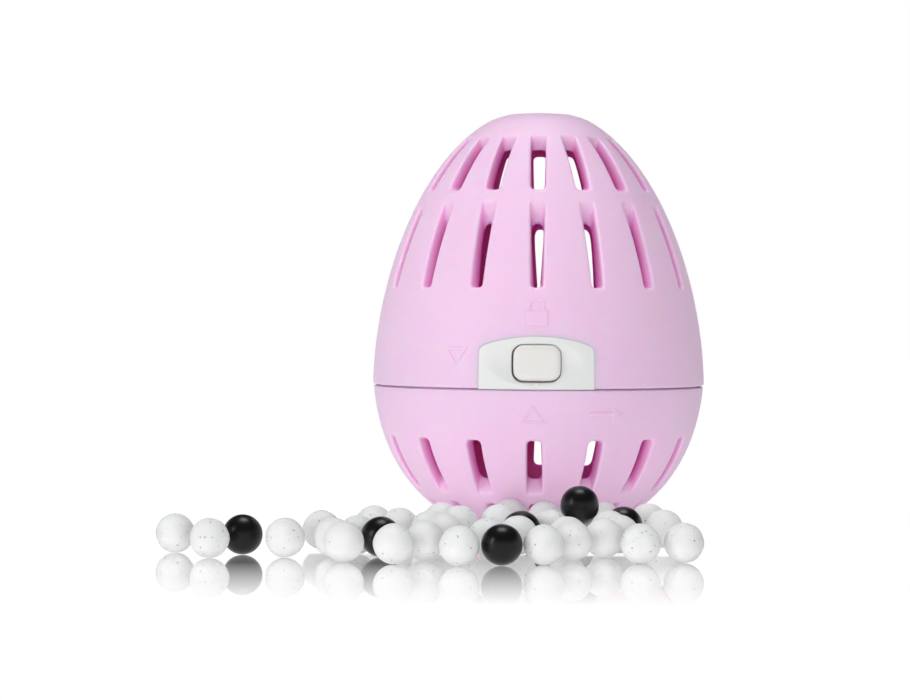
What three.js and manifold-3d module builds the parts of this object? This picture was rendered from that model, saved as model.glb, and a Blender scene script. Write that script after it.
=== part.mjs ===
// Laundry egg: a vented egg of two halves that holds washing pellets. A turn lock with a push button closes it.
// Millimetres, +Z up. The origin is the centre of the flat base, the button faces -Y, and +X is to its right.
// Angles are in degrees from the front, growing to the right.
import * as THREE from "three";
import { mergeVertices } from "three/addons/utils/BufferGeometryUtils.js";
import Module from "manifold-3d";

// Egg
const SEAM_R = 46; // outer radius of the lid at the seam
const CUP_STEP = 0.2; // the cup is this much slimmer than the lid at the seam
const CUP_H = 38.2;
const LID_H = 75.7;
const SEAM_GAP = 0.6; // shadow line between the halves
const WALL = 2.7;
const BASE_FLAT_R = 20;
const TOP_FLAT_R = 9;
const TOP_CROWN = 0.2;
const CUP_TURN = -1.8; // how far the cup is turned under the lid
const FIT = 0.4; // running clearance between pieces
const SEAT = 0.3; // gap where one piece rests on another

// Handles of the outline curves: shares of the seam radius and of the half's height
const LID_BELLY = { r: 0.99, h: 0.41 };
const LID_SHOULDER = { r: 0.68, h: 0.9 };
const CUP_FOOT = { r: 0.685, h: 0.127 };
const CUP_BELLY = { r: 0.95, h: 0.42 };
const TURN_STEPS = 48; // facets round the egg
const LID_STEPS = 8; // facets up each skin
const CUP_STEPS = 6;
const OUTLINE_STEPS = 4; // facets along each curve of an outline
const BLOCK_STEPS = 6; // facets along each arc of a block
const WELD = 1e-4; // corners nearer than this are one

// Vents: each row starts at a ledge near the seam and fades into the skin towards the pole.
// The ledge and the fade are shares of the half's height, counted from the seam.
const VENTS = 16;
const VENT_RUN_OUT = 3; // the cut goes on this far past the fade
const VENT_CORNER_STEPS = 1;
const LID_VENTS = [
  { width: 4.1, ledgeWidth: 4.1, corner: 1.2, ledge: 0.703, fade: 0.906 },
  { width: 3.9, ledgeWidth: 3.2, corner: 1.5, ledge: 0.359, fade: 0.665 },
];
const CUP_VENTS = [
  { width: 4.1, ledgeWidth: 4.1, corner: 1.2, ledge: 0.343, fade: 0.717 },
  { width: 3.4, ledgeWidth: 3.4, corner: 1.2, ledge: 0.798, fade: 0.94 },
];

// Lock panel, let into the front of the lid's rim
const PANEL_W = 31.2;
const PANEL_H = 14.4;
const PANEL_SIDE_H = 9.6; // straight part of each side
const PANEL_SHOULDER_W = 3; // rounded shoulders
const PANEL_SHOULDER_H = 12.4;
const PANEL_GAP = 0.3;
const LIP_REACH = 2; // the panel's lip reaches this far behind the lid's wall
const LIP_T = 1.6;
const DISH_W = 25.4; // thumb dish round the button
const DISH_H = 11;
const DISH_DEPTH = 0.8;
const DISH_STEPS = 24;
const BRACKET_H = 6; // bracket that backs the spring
const BRACKET_T = 1.5;

// Release button and its leaf spring
const BUTTON_W = 12.3;
const BUTTON_H = 9.2;
const BUTTON_CORNER = 2;
const BUTTON_EDGE = 0.6; // softened edge of the face
const BUTTON_EDGE_STEPS = 2;
const BUTTON_PROUD = 0.2;
const BUTTON_RISE = 7.3; // centre above the lid's rim
const FLANGE_REACH = 0.9; // stops the button falling out of its window
const FLANGE_T = 1.2;
const CATCH_W = 6;
const CATCH_T = 1.4;
const CATCH_TOOTH = 1; // height into the ring, and the depth of the ring's recess
const CATCH_DROP = 2.8; // tooth's top below the cup's rim
const TOOTH_H = 2;
const SPRING_BOW = 4.2;
const SPRING_SPAN = 9;
const SPRING_T = 0.6;
const SPRING_W = 3.5;
const SPRING_STEPS = 10;

// Lock ring: turns in the cup, with lugs under the cup's hooks
const RING_WALL = 1.8;
const RING_RISE = 7.5; // above the cup's rim
const RING_DEPTH = 10.2; // seat below the cup's rim
const SEAT_REACH = 1; // the seat goes this far in past the ring's wall
const SEAT_T = 2;
const LUGS = 3;
const LUG_SPAN = 22;
const LUG_T = 2;
const LUG_REACH = 1.2;
const LUG_FIRST = 60;
const RIBS = [75, 180, 285]; // ribs in the lid that sit on the ring
const RIB_SPAN = 30;
const RIB_REACH = 1.8;
const RIB_T = 1.6;
const ROOT = 0.8; // how deep a hook or rib is rooted in its wall

// Raised marks: closed, line up to open, and the way to turn
const MARK_RISE = 0.25;
const MARK_ROOT = 0.4;
const MARK_LINE = 0.9;
const LOCK_W = 6.2;
const LOCK_BODY_H = 4.3;
const LOCK_BOW_W = 4.7;
const LOCK_BOW_H = 3.2;
const LOCK_MARK = { angle: 0, rise: 16.9 }; // foot of the mark above the lid's rim
const TRIANGLE_W = 7.6;
const TRIANGLE_H = 5.4;
const OPEN_MARK = { angle: -28, rise: 6 };
const LINE_UP_MARK = { angle: -0.6, drop: 8.6 }; // foot of the mark below the cup's rim
const ARROW_L = 9.8;
const ARROW_HEAD_L = 3.2;
const ARROW_H = 4.6;
const ARROW_MARK = { angle: 25, drop: 8.4 };

// Pellets lying in front of the egg
const PELLET_D = 9.9;
const PELLET_GAP = 0.3;
const PELLET_DETAIL = 1;
const SETTLE_PASSES = 400;
const CLEARANCE_STEPS = 80; // places on the cup's outline that the pellets keep clear of
const NEST = new THREE.Vector2(10.7, -73); // here a black pellet lies on three white ones
const NEST_SPREAD = 0.86; // how far out those three lie, as a share of the pellet
const NEST_TURNS = [90, 210, 330];
const WHITE_PLACES = [
  [-89, -99], [-79, -113], [-61, -110], [-54, -85], [-49.5, -108], [-46, -122], [-44, -99], [-42, -65],
  [-35, -72.5], [-34, -126], [-27, -80], [-27, -115], [-25, -53], [-23, -92], [-20, -62.5], [-18, -130],
  [-12, -105], [-10, -58.5], [-7.2, -37], [-4.7, -97], [1.5, -125], [2, -45.5], [7.5, -99], [8.5, -114],
  [16, -104], [17.3, -48.5], [20.3, -91.5], [24.6, -120], [29, -50.5], [32, -74.5], [35, -117],
];
const BLACK_PLACES = [[-72, -103], [-38, -107], [-8.5, -127.5], [-4, -84.5], [22, -66.5]];

// Finishes
const PINK = { color: 0xefc6e4, roughness: 0.45, metalness: 0 };
const WHITE = { color: 0xe3e5e4, roughness: 0.4, metalness: 0 };
const CREAM = { color: 0xe2e2de, roughness: 0.35, metalness: 0 };
const MINERAL = { color: 0xf0f0ee, roughness: 0.9, metalness: 0 };
const CHARCOAL = { color: 0x1c1c1e, roughness: 0.4, metalness: 0 };

const wasm = await Module();
wasm.setup();
const rad = THREE.MathUtils.degToRad;

// Solids from geometry, and back

// The closed solid of a geometry. Its faces are turned to point out, and slivers at a lathe's poles are dropped.
function solidOf(geometry) {
  const loose = geometry.index ? geometry.toNonIndexed() : geometry;
  const bare = new THREE.BufferGeometry().setAttribute("position", loose.getAttribute("position"));
  const merged = mergeVertices(bare, WELD);
  const points = merged.attributes.position.array;
  const corner = (i) => new THREE.Vector3().fromArray(points, i * 3);
  const faces = [];
  let volume = 0;
  for (let i = 0; i < merged.index.count; i += 3) {
    const [a, b, c] = merged.index.array.slice(i, i + 3);
    if (a === b || b === c || c === a) continue;
    faces.push([a, b, c]);
    volume += corner(a).dot(corner(b).cross(corner(c)));
  }
  if (volume < 0) faces.forEach((face) => face.reverse());
  const triVerts = new Uint32Array(faces.flat());
  return new wasm.Manifold(new wasm.Mesh({ numProp: 3, vertProperties: points, triVerts }));
}

function meshOf(name, solid, finish) {
  const { vertProperties, triVerts } = solid.getMesh();
  const geometry = new THREE.BufferGeometry();
  geometry.setAttribute("position", new THREE.BufferAttribute(vertProperties, 3));
  geometry.setIndex(new THREE.BufferAttribute(triVerts, 1));
  geometry.computeVertexNormals();
  return namedMesh(name, geometry, finish);
}

function namedMesh(name, geometry, finish) {
  const mesh = new THREE.Mesh(geometry, new THREE.MeshStandardMaterial(finish));
  mesh.name = name;
  return mesh;
}

// Turns a profile of [radius, height] points round the Z axis, with the middle of a facet at the front.
function turned(profile) {
  const lathe = new THREE.LatheGeometry(profile, TURN_STEPS, Math.PI / TURN_STEPS);
  return solidOf(lathe.rotateX(Math.PI / 2));
}

// Draws out an outline seen from the front, from the depth y = -near to y = -far, then turns it to an angle.
function drawnOut(outline, near, far, angle = 0) {
  const options = { depth: far - near, bevelEnabled: false, curveSegments: OUTLINE_STEPS };
  const prism = new THREE.ExtrudeGeometry(outline, options);
  prism.rotateX(Math.PI / 2).translate(0, -near, 0).rotateZ(rad(angle));
  return solidOf(prism);
}

// A block between two radii and two heights, centred on an angle.
function sectorBlock(innerR, outerR, angle, span, bottom, top) {
  const half = rad(span / 2);
  const outline = new THREE.Shape();
  outline.absarc(0, 0, outerR, -half, half, false);
  outline.absarc(0, 0, innerR, half, -half, true);
  outline.closePath();
  const options = { depth: top - bottom, bevelEnabled: false, curveSegments: BLOCK_STEPS };
  const block = new THREE.ExtrudeGeometry(outline, options);
  block.rotateZ(rad(angle - 90)).translate(0, 0, bottom);
  return solidOf(block);
}

// A box at the front, between two depths behind y = 0 and two heights.
function frontBox(left, right, near, far, bottom, top) {
  const box = new THREE.BoxGeometry(right - left, far - near, top - bottom);
  box.translate((left + right) / 2, -(near + far) / 2, (bottom + top) / 2);
  return solidOf(box);
}

function joined(solids) {
  return solids.reduce((all, solid) => all.add(solid));
}

// Outlines

function roundedRect(width, height, corner, middle) {
  const x = width / 2 - corner;
  const y = height / 2 - corner;
  const outline = new THREE.Shape();
  outline.absarc(x, middle + y, corner, 0, Math.PI / 2, false);
  outline.absarc(-x, middle + y, corner, Math.PI / 2, Math.PI, false);
  outline.absarc(-x, middle - y, corner, Math.PI, Math.PI * 1.5, false);
  outline.absarc(x, middle - y, corner, Math.PI * 1.5, Math.PI * 2, false);
  return outline.closePath();
}

// An outline through corners, run anticlockwise.
function polygon(corners) {
  const points = corners.map(([x, y]) => new THREE.Vector2(x, y));
  if (THREE.ShapeUtils.isClockWise(points)) points.reverse();
  return new THREE.Shape(points);
}

// The skins of the two halves, as [radius, height] points from the bottom up
const lidRim = CUP_H + SEAM_GAP;
const eggTop = lidRim + LID_H;
const lidCurve = new THREE.CubicBezierCurve(
  new THREE.Vector2(SEAM_R, lidRim),
  new THREE.Vector2(SEAM_R * LID_BELLY.r, lidRim + LID_H * LID_BELLY.h),
  new THREE.Vector2(SEAM_R * LID_SHOULDER.r, lidRim + LID_H * LID_SHOULDER.h),
  new THREE.Vector2(TOP_FLAT_R, eggTop - TOP_CROWN),
);
const cupCurve = new THREE.CubicBezierCurve(
  new THREE.Vector2(BASE_FLAT_R, 0),
  new THREE.Vector2(SEAM_R * CUP_FOOT.r, CUP_H * CUP_FOOT.h),
  new THREE.Vector2(SEAM_R * CUP_BELLY.r, CUP_H * CUP_BELLY.h),
  new THREE.Vector2(SEAM_R - CUP_STEP, CUP_H),
);

// Points along a curve, set in from it by a depth. A negative depth stands them out.
function skin(curve, steps, depth) {
  const points = [];
  for (let i = 0; i <= steps; i++) {
    const along = curve.getTangent(i / steps);
    const outward = new THREE.Vector2(along.y, -along.x);
    points.push(curve.getPoint(i / steps).addScaledVector(outward, -depth));
  }
  return points;
}

function lidSkin(depth) {
  const points = skin(lidCurve, LID_STEPS, depth);
  points[0].y = lidRim;
  return points;
}

function cupSkin(depth) {
  const points = skin(cupCurve, CUP_STEPS, depth);
  points[CUP_STEPS].y = CUP_H;
  return points;
}

// The radius of a skin at a height.
function radiusAt(points, height) {
  const above = Math.max(1, points.findIndex((point) => point.y >= height));
  const [low, high] = [points[above - 1], points[above]];
  return THREE.MathUtils.mapLinear(height, low.y, high.y, low.x, high.x);
}

// The part of a half's wall that lies between two depths.
function layer(skinAt, outerDepth, innerDepth) {
  const loop = [...skinAt(outerDepth), ...skinAt(innerDepth).reverse()];
  return turned([...loop, loop[0]]);
}

// Cuts a row of vents. The outline's ledge is at the seam's end, and its sides run on past the fade.
function cutVents(shell, vent, outerSkin, seamHeight, poleway, halfHeight) {
  const floorR = radiusAt(outerSkin, seamHeight + poleway * vent.fade * halfHeight);
  const length = (vent.fade - vent.ledge) * halfHeight + VENT_RUN_OUT;
  const ledge = vent.ledgeWidth / 2;
  const end = vent.width / 2;
  const outline = new THREE.Shape();
  outline.absarc(ledge - vent.corner, vent.corner, vent.corner, -Math.PI / 2, 0, false);
  outline.lineTo(end, length);
  outline.lineTo(-end, length);
  outline.absarc(vent.corner - ledge, vent.corner, vent.corner, Math.PI, Math.PI * 1.5, false);
  outline.closePath();
  const depth = SEAM_R + WALL - floorR;
  const options = { depth, bevelEnabled: false, curveSegments: VENT_CORNER_STEPS };
  const cutter = new THREE.ExtrudeGeometry(outline, options);
  cutter.rotateX(Math.PI / 2);
  if (poleway < 0) cutter.rotateY(Math.PI);
  cutter.translate(0, -floorR, seamHeight + poleway * vent.ledge * halfHeight);
  let cut = shell;
  for (let i = 0; i < VENTS; i++) {
    const turnedCutter = cutter.clone().rotateZ(rad((i * 360) / VENTS));
    cut = cut.subtract(solidOf(turnedCutter));
  }
  return cut;
}

// Sizes that the fitting pieces share
const lidInner = lidSkin(WALL);
const cupInner = cupSkin(WALL);
const ringSeat = CUP_H - RING_DEPTH;
const ringBottom = ringSeat + SEAT;
const ringTop = CUP_H + RING_RISE;
const lugTop = ringBottom + LUG_T;
const lugR = radiusAt(cupInner, ringBottom) - FIT;
const hookR = lugR - LUG_REACH;
const ringOuterR = hookR - FIT;
const ringInnerR = ringOuterR - RING_WALL;
const flangeR = radiusAt(lidInner, ringTop) - FIT;
const webBottom = CUP_H + SEAT;
const webTop = webBottom + RING_WALL;
const buttonZ = lidRim + BUTTON_RISE;
const frontR = radiusAt(lidSkin(0), buttonZ);
const lipOuterDepth = WALL + SEAT;
const lipInnerDepth = lipOuterDepth + LIP_T;
const flangeHalfW = BUTTON_W / 2 + FLANGE_REACH;
const flangeHalfH = BUTTON_H / 2 + FLANGE_REACH;
const lipR = radiusAt(lidSkin(lipInnerDepth), buttonZ + flangeHalfH); // where the lip leans in most
const buttonFlange = Math.sqrt(lipR ** 2 - flangeHalfW ** 2) - FIT; // depth of the flange's front
const springFront = buttonFlange - FLANGE_T - SEAT;
const bridgeFront = springFront - SPRING_BOW - SEAT;
const lipHalfAngle = THREE.MathUtils.radToDeg(Math.asin((PANEL_W / 2 + LIP_REACH) / lipR));
const toothTop = CUP_H - CATCH_DROP;
const toothBottom = toothTop - TOOTH_H;

// The panel's outline, grown all round by a margin. It starts below the rim where it is to cut through it.
function panelOutline(margin, bottom) {
  const half = PANEL_W / 2 + margin;
  const shoulder = half - PANEL_SHOULDER_W;
  const shoulderZ = lidRim + PANEL_SHOULDER_H + margin;
  const crest = lidRim + PANEL_H + margin;
  const outline = new THREE.Shape();
  outline.moveTo(-half, bottom);
  outline.lineTo(half, bottom);
  outline.lineTo(half, lidRim + PANEL_SIDE_H);
  outline.quadraticCurveTo(half, shoulderZ - PANEL_SHOULDER_W / 4, shoulder, shoulderZ);
  outline.quadraticCurveTo(0, 2 * crest - shoulderZ, -shoulder, shoulderZ);
  outline.quadraticCurveTo(-half, shoulderZ - PANEL_SHOULDER_W / 4, -half, lidRim + PANEL_SIDE_H);
  return outline.closePath();
}

// Marks

function padlockOutline(foot) {
  const bowTop = foot + LOCK_BODY_H + LOCK_BOW_H;
  const bowR = LOCK_BOW_W / 2;
  const bowZ = bowTop - bowR;
  const body = foot + LOCK_BODY_H;
  const outline = new THREE.Shape();
  outline.moveTo(-LOCK_W / 2, foot);
  outline.lineTo(LOCK_W / 2, foot);
  outline.lineTo(LOCK_W / 2, body);
  outline.lineTo(bowR, body);
  outline.absarc(0, bowZ, bowR, 0, Math.PI, false);
  outline.lineTo(-bowR, body);
  outline.lineTo(-LOCK_W / 2, body);
  outline.closePath();
  const hole = new THREE.Path();
  hole.moveTo(bowR - MARK_LINE, body);
  hole.absarc(0, bowZ, bowR - MARK_LINE, 0, Math.PI, false);
  hole.lineTo(MARK_LINE - bowR, body);
  hole.closePath();
  outline.holes.push(hole);
  return outline;
}

// A triangle drawn as a line. A negative height points it down from its foot.
function triangleOutline(foot, height) {
  const half = TRIANGLE_W / 2;
  const tip = foot + height;
  const way = Math.sign(height);
  const outline = polygon([[-half, foot], [half, foot], [0, tip]]);
  const slope = Math.hypot(height, half) / half;
  const holeFoot = foot + way * MARK_LINE;
  const holeTip = tip - way * MARK_LINE * slope;
  const holeHalf = (half * (holeTip - holeFoot)) / height;
  outline.holes.push(polygon([[-holeHalf, holeFoot], [holeHalf, holeFoot], [0, holeTip]]));
  return outline;
}

function arrowOutline(foot) {
  const middle = foot + ARROW_H / 2;
  const neck = ARROW_L / 2 - ARROW_HEAD_L;
  const shaft = MARK_LINE / 2;
  return polygon([
    [-ARROW_L / 2, middle - shaft], [neck, middle - shaft], [neck, foot], [ARROW_L / 2, middle],
    [neck, foot + ARROW_H], [neck, middle + shaft], [-ARROW_L / 2, middle + shaft],
  ]);
}

function withMark(shell, skinAt, outline, angle) {
  const reach = drawnOut(outline, SEAM_R / 2, SEAM_R + WALL, angle);
  return shell.add(layer(skinAt, -MARK_RISE, MARK_ROOT).intersect(reach));
}

// Upper half: a vented dome, open below, with a gap in its rim for the lock panel
function topShell() {
  const outer = lidSkin(0);
  const inner = lidSkin(WALL);
  const crest = new THREE.Vector2(0, eggTop);
  const innerCrest = new THREE.Vector2(0, eggTop - WALL);
  let shell = turned([...outer, crest, innerCrest, ...inner.reverse(), outer[0]]);
  for (const vent of LID_VENTS) shell = cutVents(shell, vent, outer, lidRim, 1, LID_H);
  const ribBottom = ringTop + SEAT;
  const wallR = radiusAt(lidInner, ribBottom);
  for (const angle of RIBS) {
    const rib = sectorBlock(wallR - RIB_REACH, wallR + ROOT, angle, RIB_SPAN, ribBottom, ribBottom + RIB_T);
    shell = shell.add(rib);
  }
  const padlock = padlockOutline(lidRim + LOCK_MARK.rise);
  shell = withMark(shell, lidSkin, padlock, LOCK_MARK.angle);
  const openMark = triangleOutline(lidRim + OPEN_MARK.rise + TRIANGLE_H, -TRIANGLE_H);
  shell = withMark(shell, lidSkin, openMark, OPEN_MARK.angle);
  const gap = drawnOut(panelOutline(PANEL_GAP, lidRim - SEAM_GAP), SEAM_R / 2, SEAM_R + WALL);
  return shell.subtract(gap);
}

// Lower half: a vented cup with a seat and hooks for the lock ring
function bottomShell() {
  const outer = cupSkin(0);
  const inner = cupSkin(WALL);
  const floor = new THREE.Vector2(0, WALL);
  let shell = turned([new THREE.Vector2(0, 0), ...outer, ...inner.reverse(), floor]);
  for (const vent of CUP_VENTS) shell = cutVents(shell, vent, outer, CUP_H, -1, CUP_H);
  const seatR = radiusAt(cupInner, ringSeat);
  const seatReachR = ringInnerR - SEAT_REACH;
  const seat = turned([
    new THREE.Vector2(seatReachR, ringSeat - SEAT_T / 2), new THREE.Vector2(seatR, ringSeat - SEAT_T),
    new THREE.Vector2(seatR + ROOT, ringSeat), new THREE.Vector2(seatReachR, ringSeat),
    new THREE.Vector2(seatReachR, ringSeat - SEAT_T / 2),
  ]);
  shell = shell.add(seat);
  const hookBottom = lugTop + FIT;
  for (let i = 0; i < LUGS; i++) {
    const angle = LUG_FIRST + (i * 360) / LUGS - CUP_TURN;
    const wallR = radiusAt(cupInner, hookBottom);
    shell = shell.add(sectorBlock(hookR, wallR + ROOT, angle, LUG_SPAN, hookBottom, hookBottom + LUG_T));
  }
  const lineUp = triangleOutline(CUP_H - LINE_UP_MARK.drop, TRIANGLE_H);
  shell = withMark(shell, cupSkin, lineUp, LINE_UP_MARK.angle);
  return withMark(shell, cupSkin, arrowOutline(CUP_H - ARROW_MARK.drop), ARROW_MARK.angle);
}

// Lock ring: a wall that turns in the cup, and above the rim a collar that stands in the lid
function lockRing() {
  const corners = [
    [ringInnerR, ringBottom], [ringOuterR, ringBottom], [ringOuterR, webBottom], [flangeR, webBottom],
    [flangeR, ringTop], [flangeR - RING_WALL, ringTop], [flangeR - RING_WALL, webTop], [ringInnerR, webTop],
  ];
  const profile = [...corners, corners[0]].map(([r, z]) => new THREE.Vector2(r, z));
  let ring = turned(profile);
  for (let i = 0; i < LUGS; i++) {
    const angle = LUG_FIRST + (i * 360) / LUGS;
    ring = ring.add(sectorBlock(ringOuterR - ROOT, lugR, angle, LUG_SPAN, ringBottom, lugTop));
  }
  const clearAngle = THREE.MathUtils.radToDeg(FIT / lipR) + lipHalfAngle;
  const bay = sectorBlock(ringInnerR - WALL, SEAM_R, 0, 2 * clearAngle, webBottom - SEAT, ringTop + WALL);
  const halfRecess = CATCH_W / 2 + FIT;
  const recessDepth = ringInnerR * Math.cos(Math.PI / TURN_STEPS) + CATCH_TOOTH;
  const recess = frontBox(-halfRecess, halfRecess, ringInnerR - WALL, recessDepth, toothBottom - FIT, webTop);
  return ring.subtract(bay).subtract(recess);
}

// Lays a flat geometry on the front of the lid, so that its depths run in from the skin.
function wrapOnLid(geometry, middle) {
  const places = geometry.attributes.position;
  const outer = lidSkin(0);
  for (let i = 0; i < places.count; i++) {
    const x = places.getX(i);
    const z = middle + places.getZ(i);
    places.setXYZ(i, x, places.getY(i) - Math.sqrt(radiusAt(outer, z) ** 2 - x ** 2), z);
  }
}

// Lock panel: flush with the lid, held by a lip behind the wall, with a window and a spring bracket
function lockPanel() {
  const deep = SEAM_R / 2;
  const far = SEAM_R + WALL;
  const face = layer(lidSkin, 0, lipInnerDepth).intersect(drawnOut(panelOutline(0, lidRim), deep, far));
  const lipFoot = lidRim + SEAT;
  const lip = layer(lidSkin, lipOuterDepth, lipInnerDepth)
    .intersect(drawnOut(panelOutline(LIP_REACH, lipFoot), deep, far));
  const dish = new THREE.SphereGeometry(1, DISH_STEPS, DISH_STEPS / 2);
  dish.scale(DISH_W / 2, DISH_DEPTH, DISH_H / 2);
  wrapOnLid(dish, buttonZ);
  const window = drawnOut(roundedRect(BUTTON_W + 2 * FIT, BUTTON_H + 2 * FIT, BUTTON_CORNER + FIT, buttonZ), deep, far);
  const plate = face.add(lip).subtract(solidOf(dish)).subtract(window);
  const railNear = flangeHalfW + FIT;
  const railFar = railNear + BRACKET_T;
  const railRoot = Math.sqrt((lipR + LIP_T / 2) ** 2 - railFar ** 2);
  const low = buttonZ - BRACKET_H / 2;
  const high = buttonZ + BRACKET_H / 2;
  const back = bridgeFront - BRACKET_T;
  return joined([
    plate,
    frontBox(railNear, railFar, back, railRoot, low, high),
    frontBox(-railFar, -railNear, back, railRoot, low, high),
    frontBox(-railFar, railFar, back, bridgeFront, low, high),
  ]);
}

// Release button: a soft-edged cap, a flange that keeps it in, and a catch that reaches down behind the ring
function releaseButton() {
  const face = roundedRect(BUTTON_W, BUTTON_H, BUTTON_CORNER, buttonZ);
  const root = buttonFlange - FLANGE_T;
  const cap = new THREE.ExtrudeGeometry(face, {
    depth: frontR + BUTTON_PROUD - BUTTON_EDGE - root,
    bevelThickness: BUTTON_EDGE,
    bevelSize: BUTTON_EDGE,
    bevelOffset: -BUTTON_EDGE,
    bevelSegments: BUTTON_EDGE_STEPS,
    curveSegments: OUTLINE_STEPS,
  });
  cap.rotateX(Math.PI / 2).translate(0, -root, 0);
  const capFront = frontBox(-SEAM_R, SEAM_R, root, SEAM_R + WALL, 0, eggTop);
  const flangeOutline = roundedRect(2 * flangeHalfW, 2 * flangeHalfH, BUTTON_CORNER, buttonZ);
  const flange = drawnOut(flangeOutline, root, buttonFlange);
  const fingerFront = ringInnerR * Math.cos(Math.PI / TURN_STEPS) - FIT;
  const fingerBack = fingerFront - CATCH_T;
  const armBottom = buttonZ - flangeHalfH;
  const half = CATCH_W / 2;
  return joined([
    solidOf(cap).intersect(capFront),
    flange,
    frontBox(-half, half, fingerBack, buttonFlange, armBottom, armBottom + CATCH_T),
    frontBox(-half, half, fingerBack, fingerFront, toothBottom, armBottom + CATCH_T),
    frontBox(-half, half, fingerBack, fingerFront + CATCH_TOOTH, toothBottom, toothTop),
  ]);
}

// Leaf spring: a bowed strip between the button's flange and the bracket
function buttonSpring() {
  const rise = SPRING_BOW - SPRING_T;
  const half = SPRING_SPAN / 2;
  const bowR = (half ** 2 + rise ** 2) / (2 * rise);
  const sweep = Math.asin(half / bowR);
  const strip = new THREE.Shape();
  strip.absarc(0, 0, bowR + SPRING_T, -Math.PI / 2 - sweep, -Math.PI / 2 + sweep, false);
  strip.absarc(0, 0, bowR, -Math.PI / 2 + sweep, -Math.PI / 2 - sweep, true);
  strip.closePath();
  const options = { depth: SPRING_W, bevelEnabled: false, curveSegments: SPRING_STEPS };
  const leaf = new THREE.ExtrudeGeometry(strip, options);
  leaf.translate(0, bowR + SPRING_T - springFront, buttonZ - SPRING_W / 2);
  return solidOf(leaf);
}

// Pellets: each lies on the floor near its chosen place, clear of its neighbours and of the cup
function settledPlaces(places) {
  const spacing = PELLET_D + PELLET_GAP;
  const reach = PELLET_D / 2 + PELLET_GAP;
  const clearOfCup = Math.max(
    ...cupCurve.getPoints(CLEARANCE_STEPS).map((point) => {
      const rise = point.y - PELLET_D / 2;
      return Math.abs(rise) < reach ? point.x + Math.sqrt(reach ** 2 - rise ** 2) : 0;
    }),
  );
  const settled = places.map((place) => place.clone());
  for (let pass = 0; pass < SETTLE_PASSES; pass++) {
    settled.forEach((place, i) => {
      for (const other of settled.slice(i + 1)) {
        const apart = place.clone().sub(other);
        const short = spacing - apart.length();
        if (short <= 0) continue;
        place.addScaledVector(apart.normalize(), short / 2);
        other.addScaledVector(apart, -short / 2);
      }
      if (place.length() < clearOfCup) place.setLength(clearOfCup);
    });
  }
  return settled;
}

// The centre of a pellet that lies on three others.
function onTopOf(supports) {
  const [a, b, c] = supports.map((place) => new THREE.Vector3(place.x, place.y, PELLET_D / 2));
  const ab = b.clone().sub(a);
  const ac = c.clone().sub(a);
  const normal = ab.clone().cross(ac);
  const toCentre = normal.clone().cross(ab).multiplyScalar(ac.lengthSq());
  toCentre.add(ac.clone().cross(normal).multiplyScalar(ab.lengthSq())).divideScalar(2 * normal.lengthSq());
  const rise = Math.sqrt((PELLET_D + PELLET_GAP) ** 2 - toCentre.lengthSq());
  return a.add(toCentre).add(new THREE.Vector3(0, 0, rise));
}

function pellets() {
  const group = new THREE.Group();
  const nestPlaces = NEST_TURNS.map((turn) => {
    const out = new THREE.Vector2(PELLET_D * NEST_SPREAD, 0);
    return out.rotateAround(new THREE.Vector2(), rad(turn)).add(NEST);
  });
  const whites = WHITE_PLACES.map(([x, y]) => new THREE.Vector2(x, y));
  const blacks = BLACK_PLACES.map(([x, y]) => new THREE.Vector2(x, y));
  const settled = settledPlaces([...nestPlaces, ...whites, ...blacks]);
  const whiteCount = nestPlaces.length + whites.length;
  const onFloor = settled.map((place) => new THREE.Vector3(place.x, place.y, PELLET_D / 2));
  const add = (name, finish) => (centre, i) => {
    const ball = new THREE.IcosahedronGeometry(PELLET_D / 2, PELLET_DETAIL);
    const pellet = namedMesh(`${name}_${String(i + 1).padStart(2, "0")}`, ball, finish);
    pellet.position.copy(centre);
    group.add(pellet);
  };
  onFloor.slice(0, whiteCount).forEach(add("white_pellet", MINERAL));
  [...onFloor.slice(whiteCount), onTopOf(settled.slice(0, nestPlaces.length))].forEach(add("black_pellet", CHARCOAL));
  return group;
}

// Assembly
const cup = new THREE.Group();
cup.add(meshOf("bottom_shell", bottomShell(), PINK));
cup.rotation.z = rad(CUP_TURN);

const lock = new THREE.Group();
lock.add(meshOf("lock_panel", lockPanel(), WHITE));
lock.add(meshOf("release_button", releaseButton(), CREAM));
lock.add(meshOf("button_spring", buttonSpring(), WHITE));

const lid = new THREE.Group();
lid.add(meshOf("top_shell", topShell(), PINK), lock);

const egg = new THREE.Group();
egg.name = "laundry_egg";
egg.add(cup, meshOf("lock_ring", lockRing(), PINK), lid, pellets());

export default egg;
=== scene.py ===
import bisect
import math
import random

import bmesh
import bpy
from mathutils import Matrix, Vector, kdtree, noise
from mathutils.geometry import interpolate_bezier, intersect_line_line_2d


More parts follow.
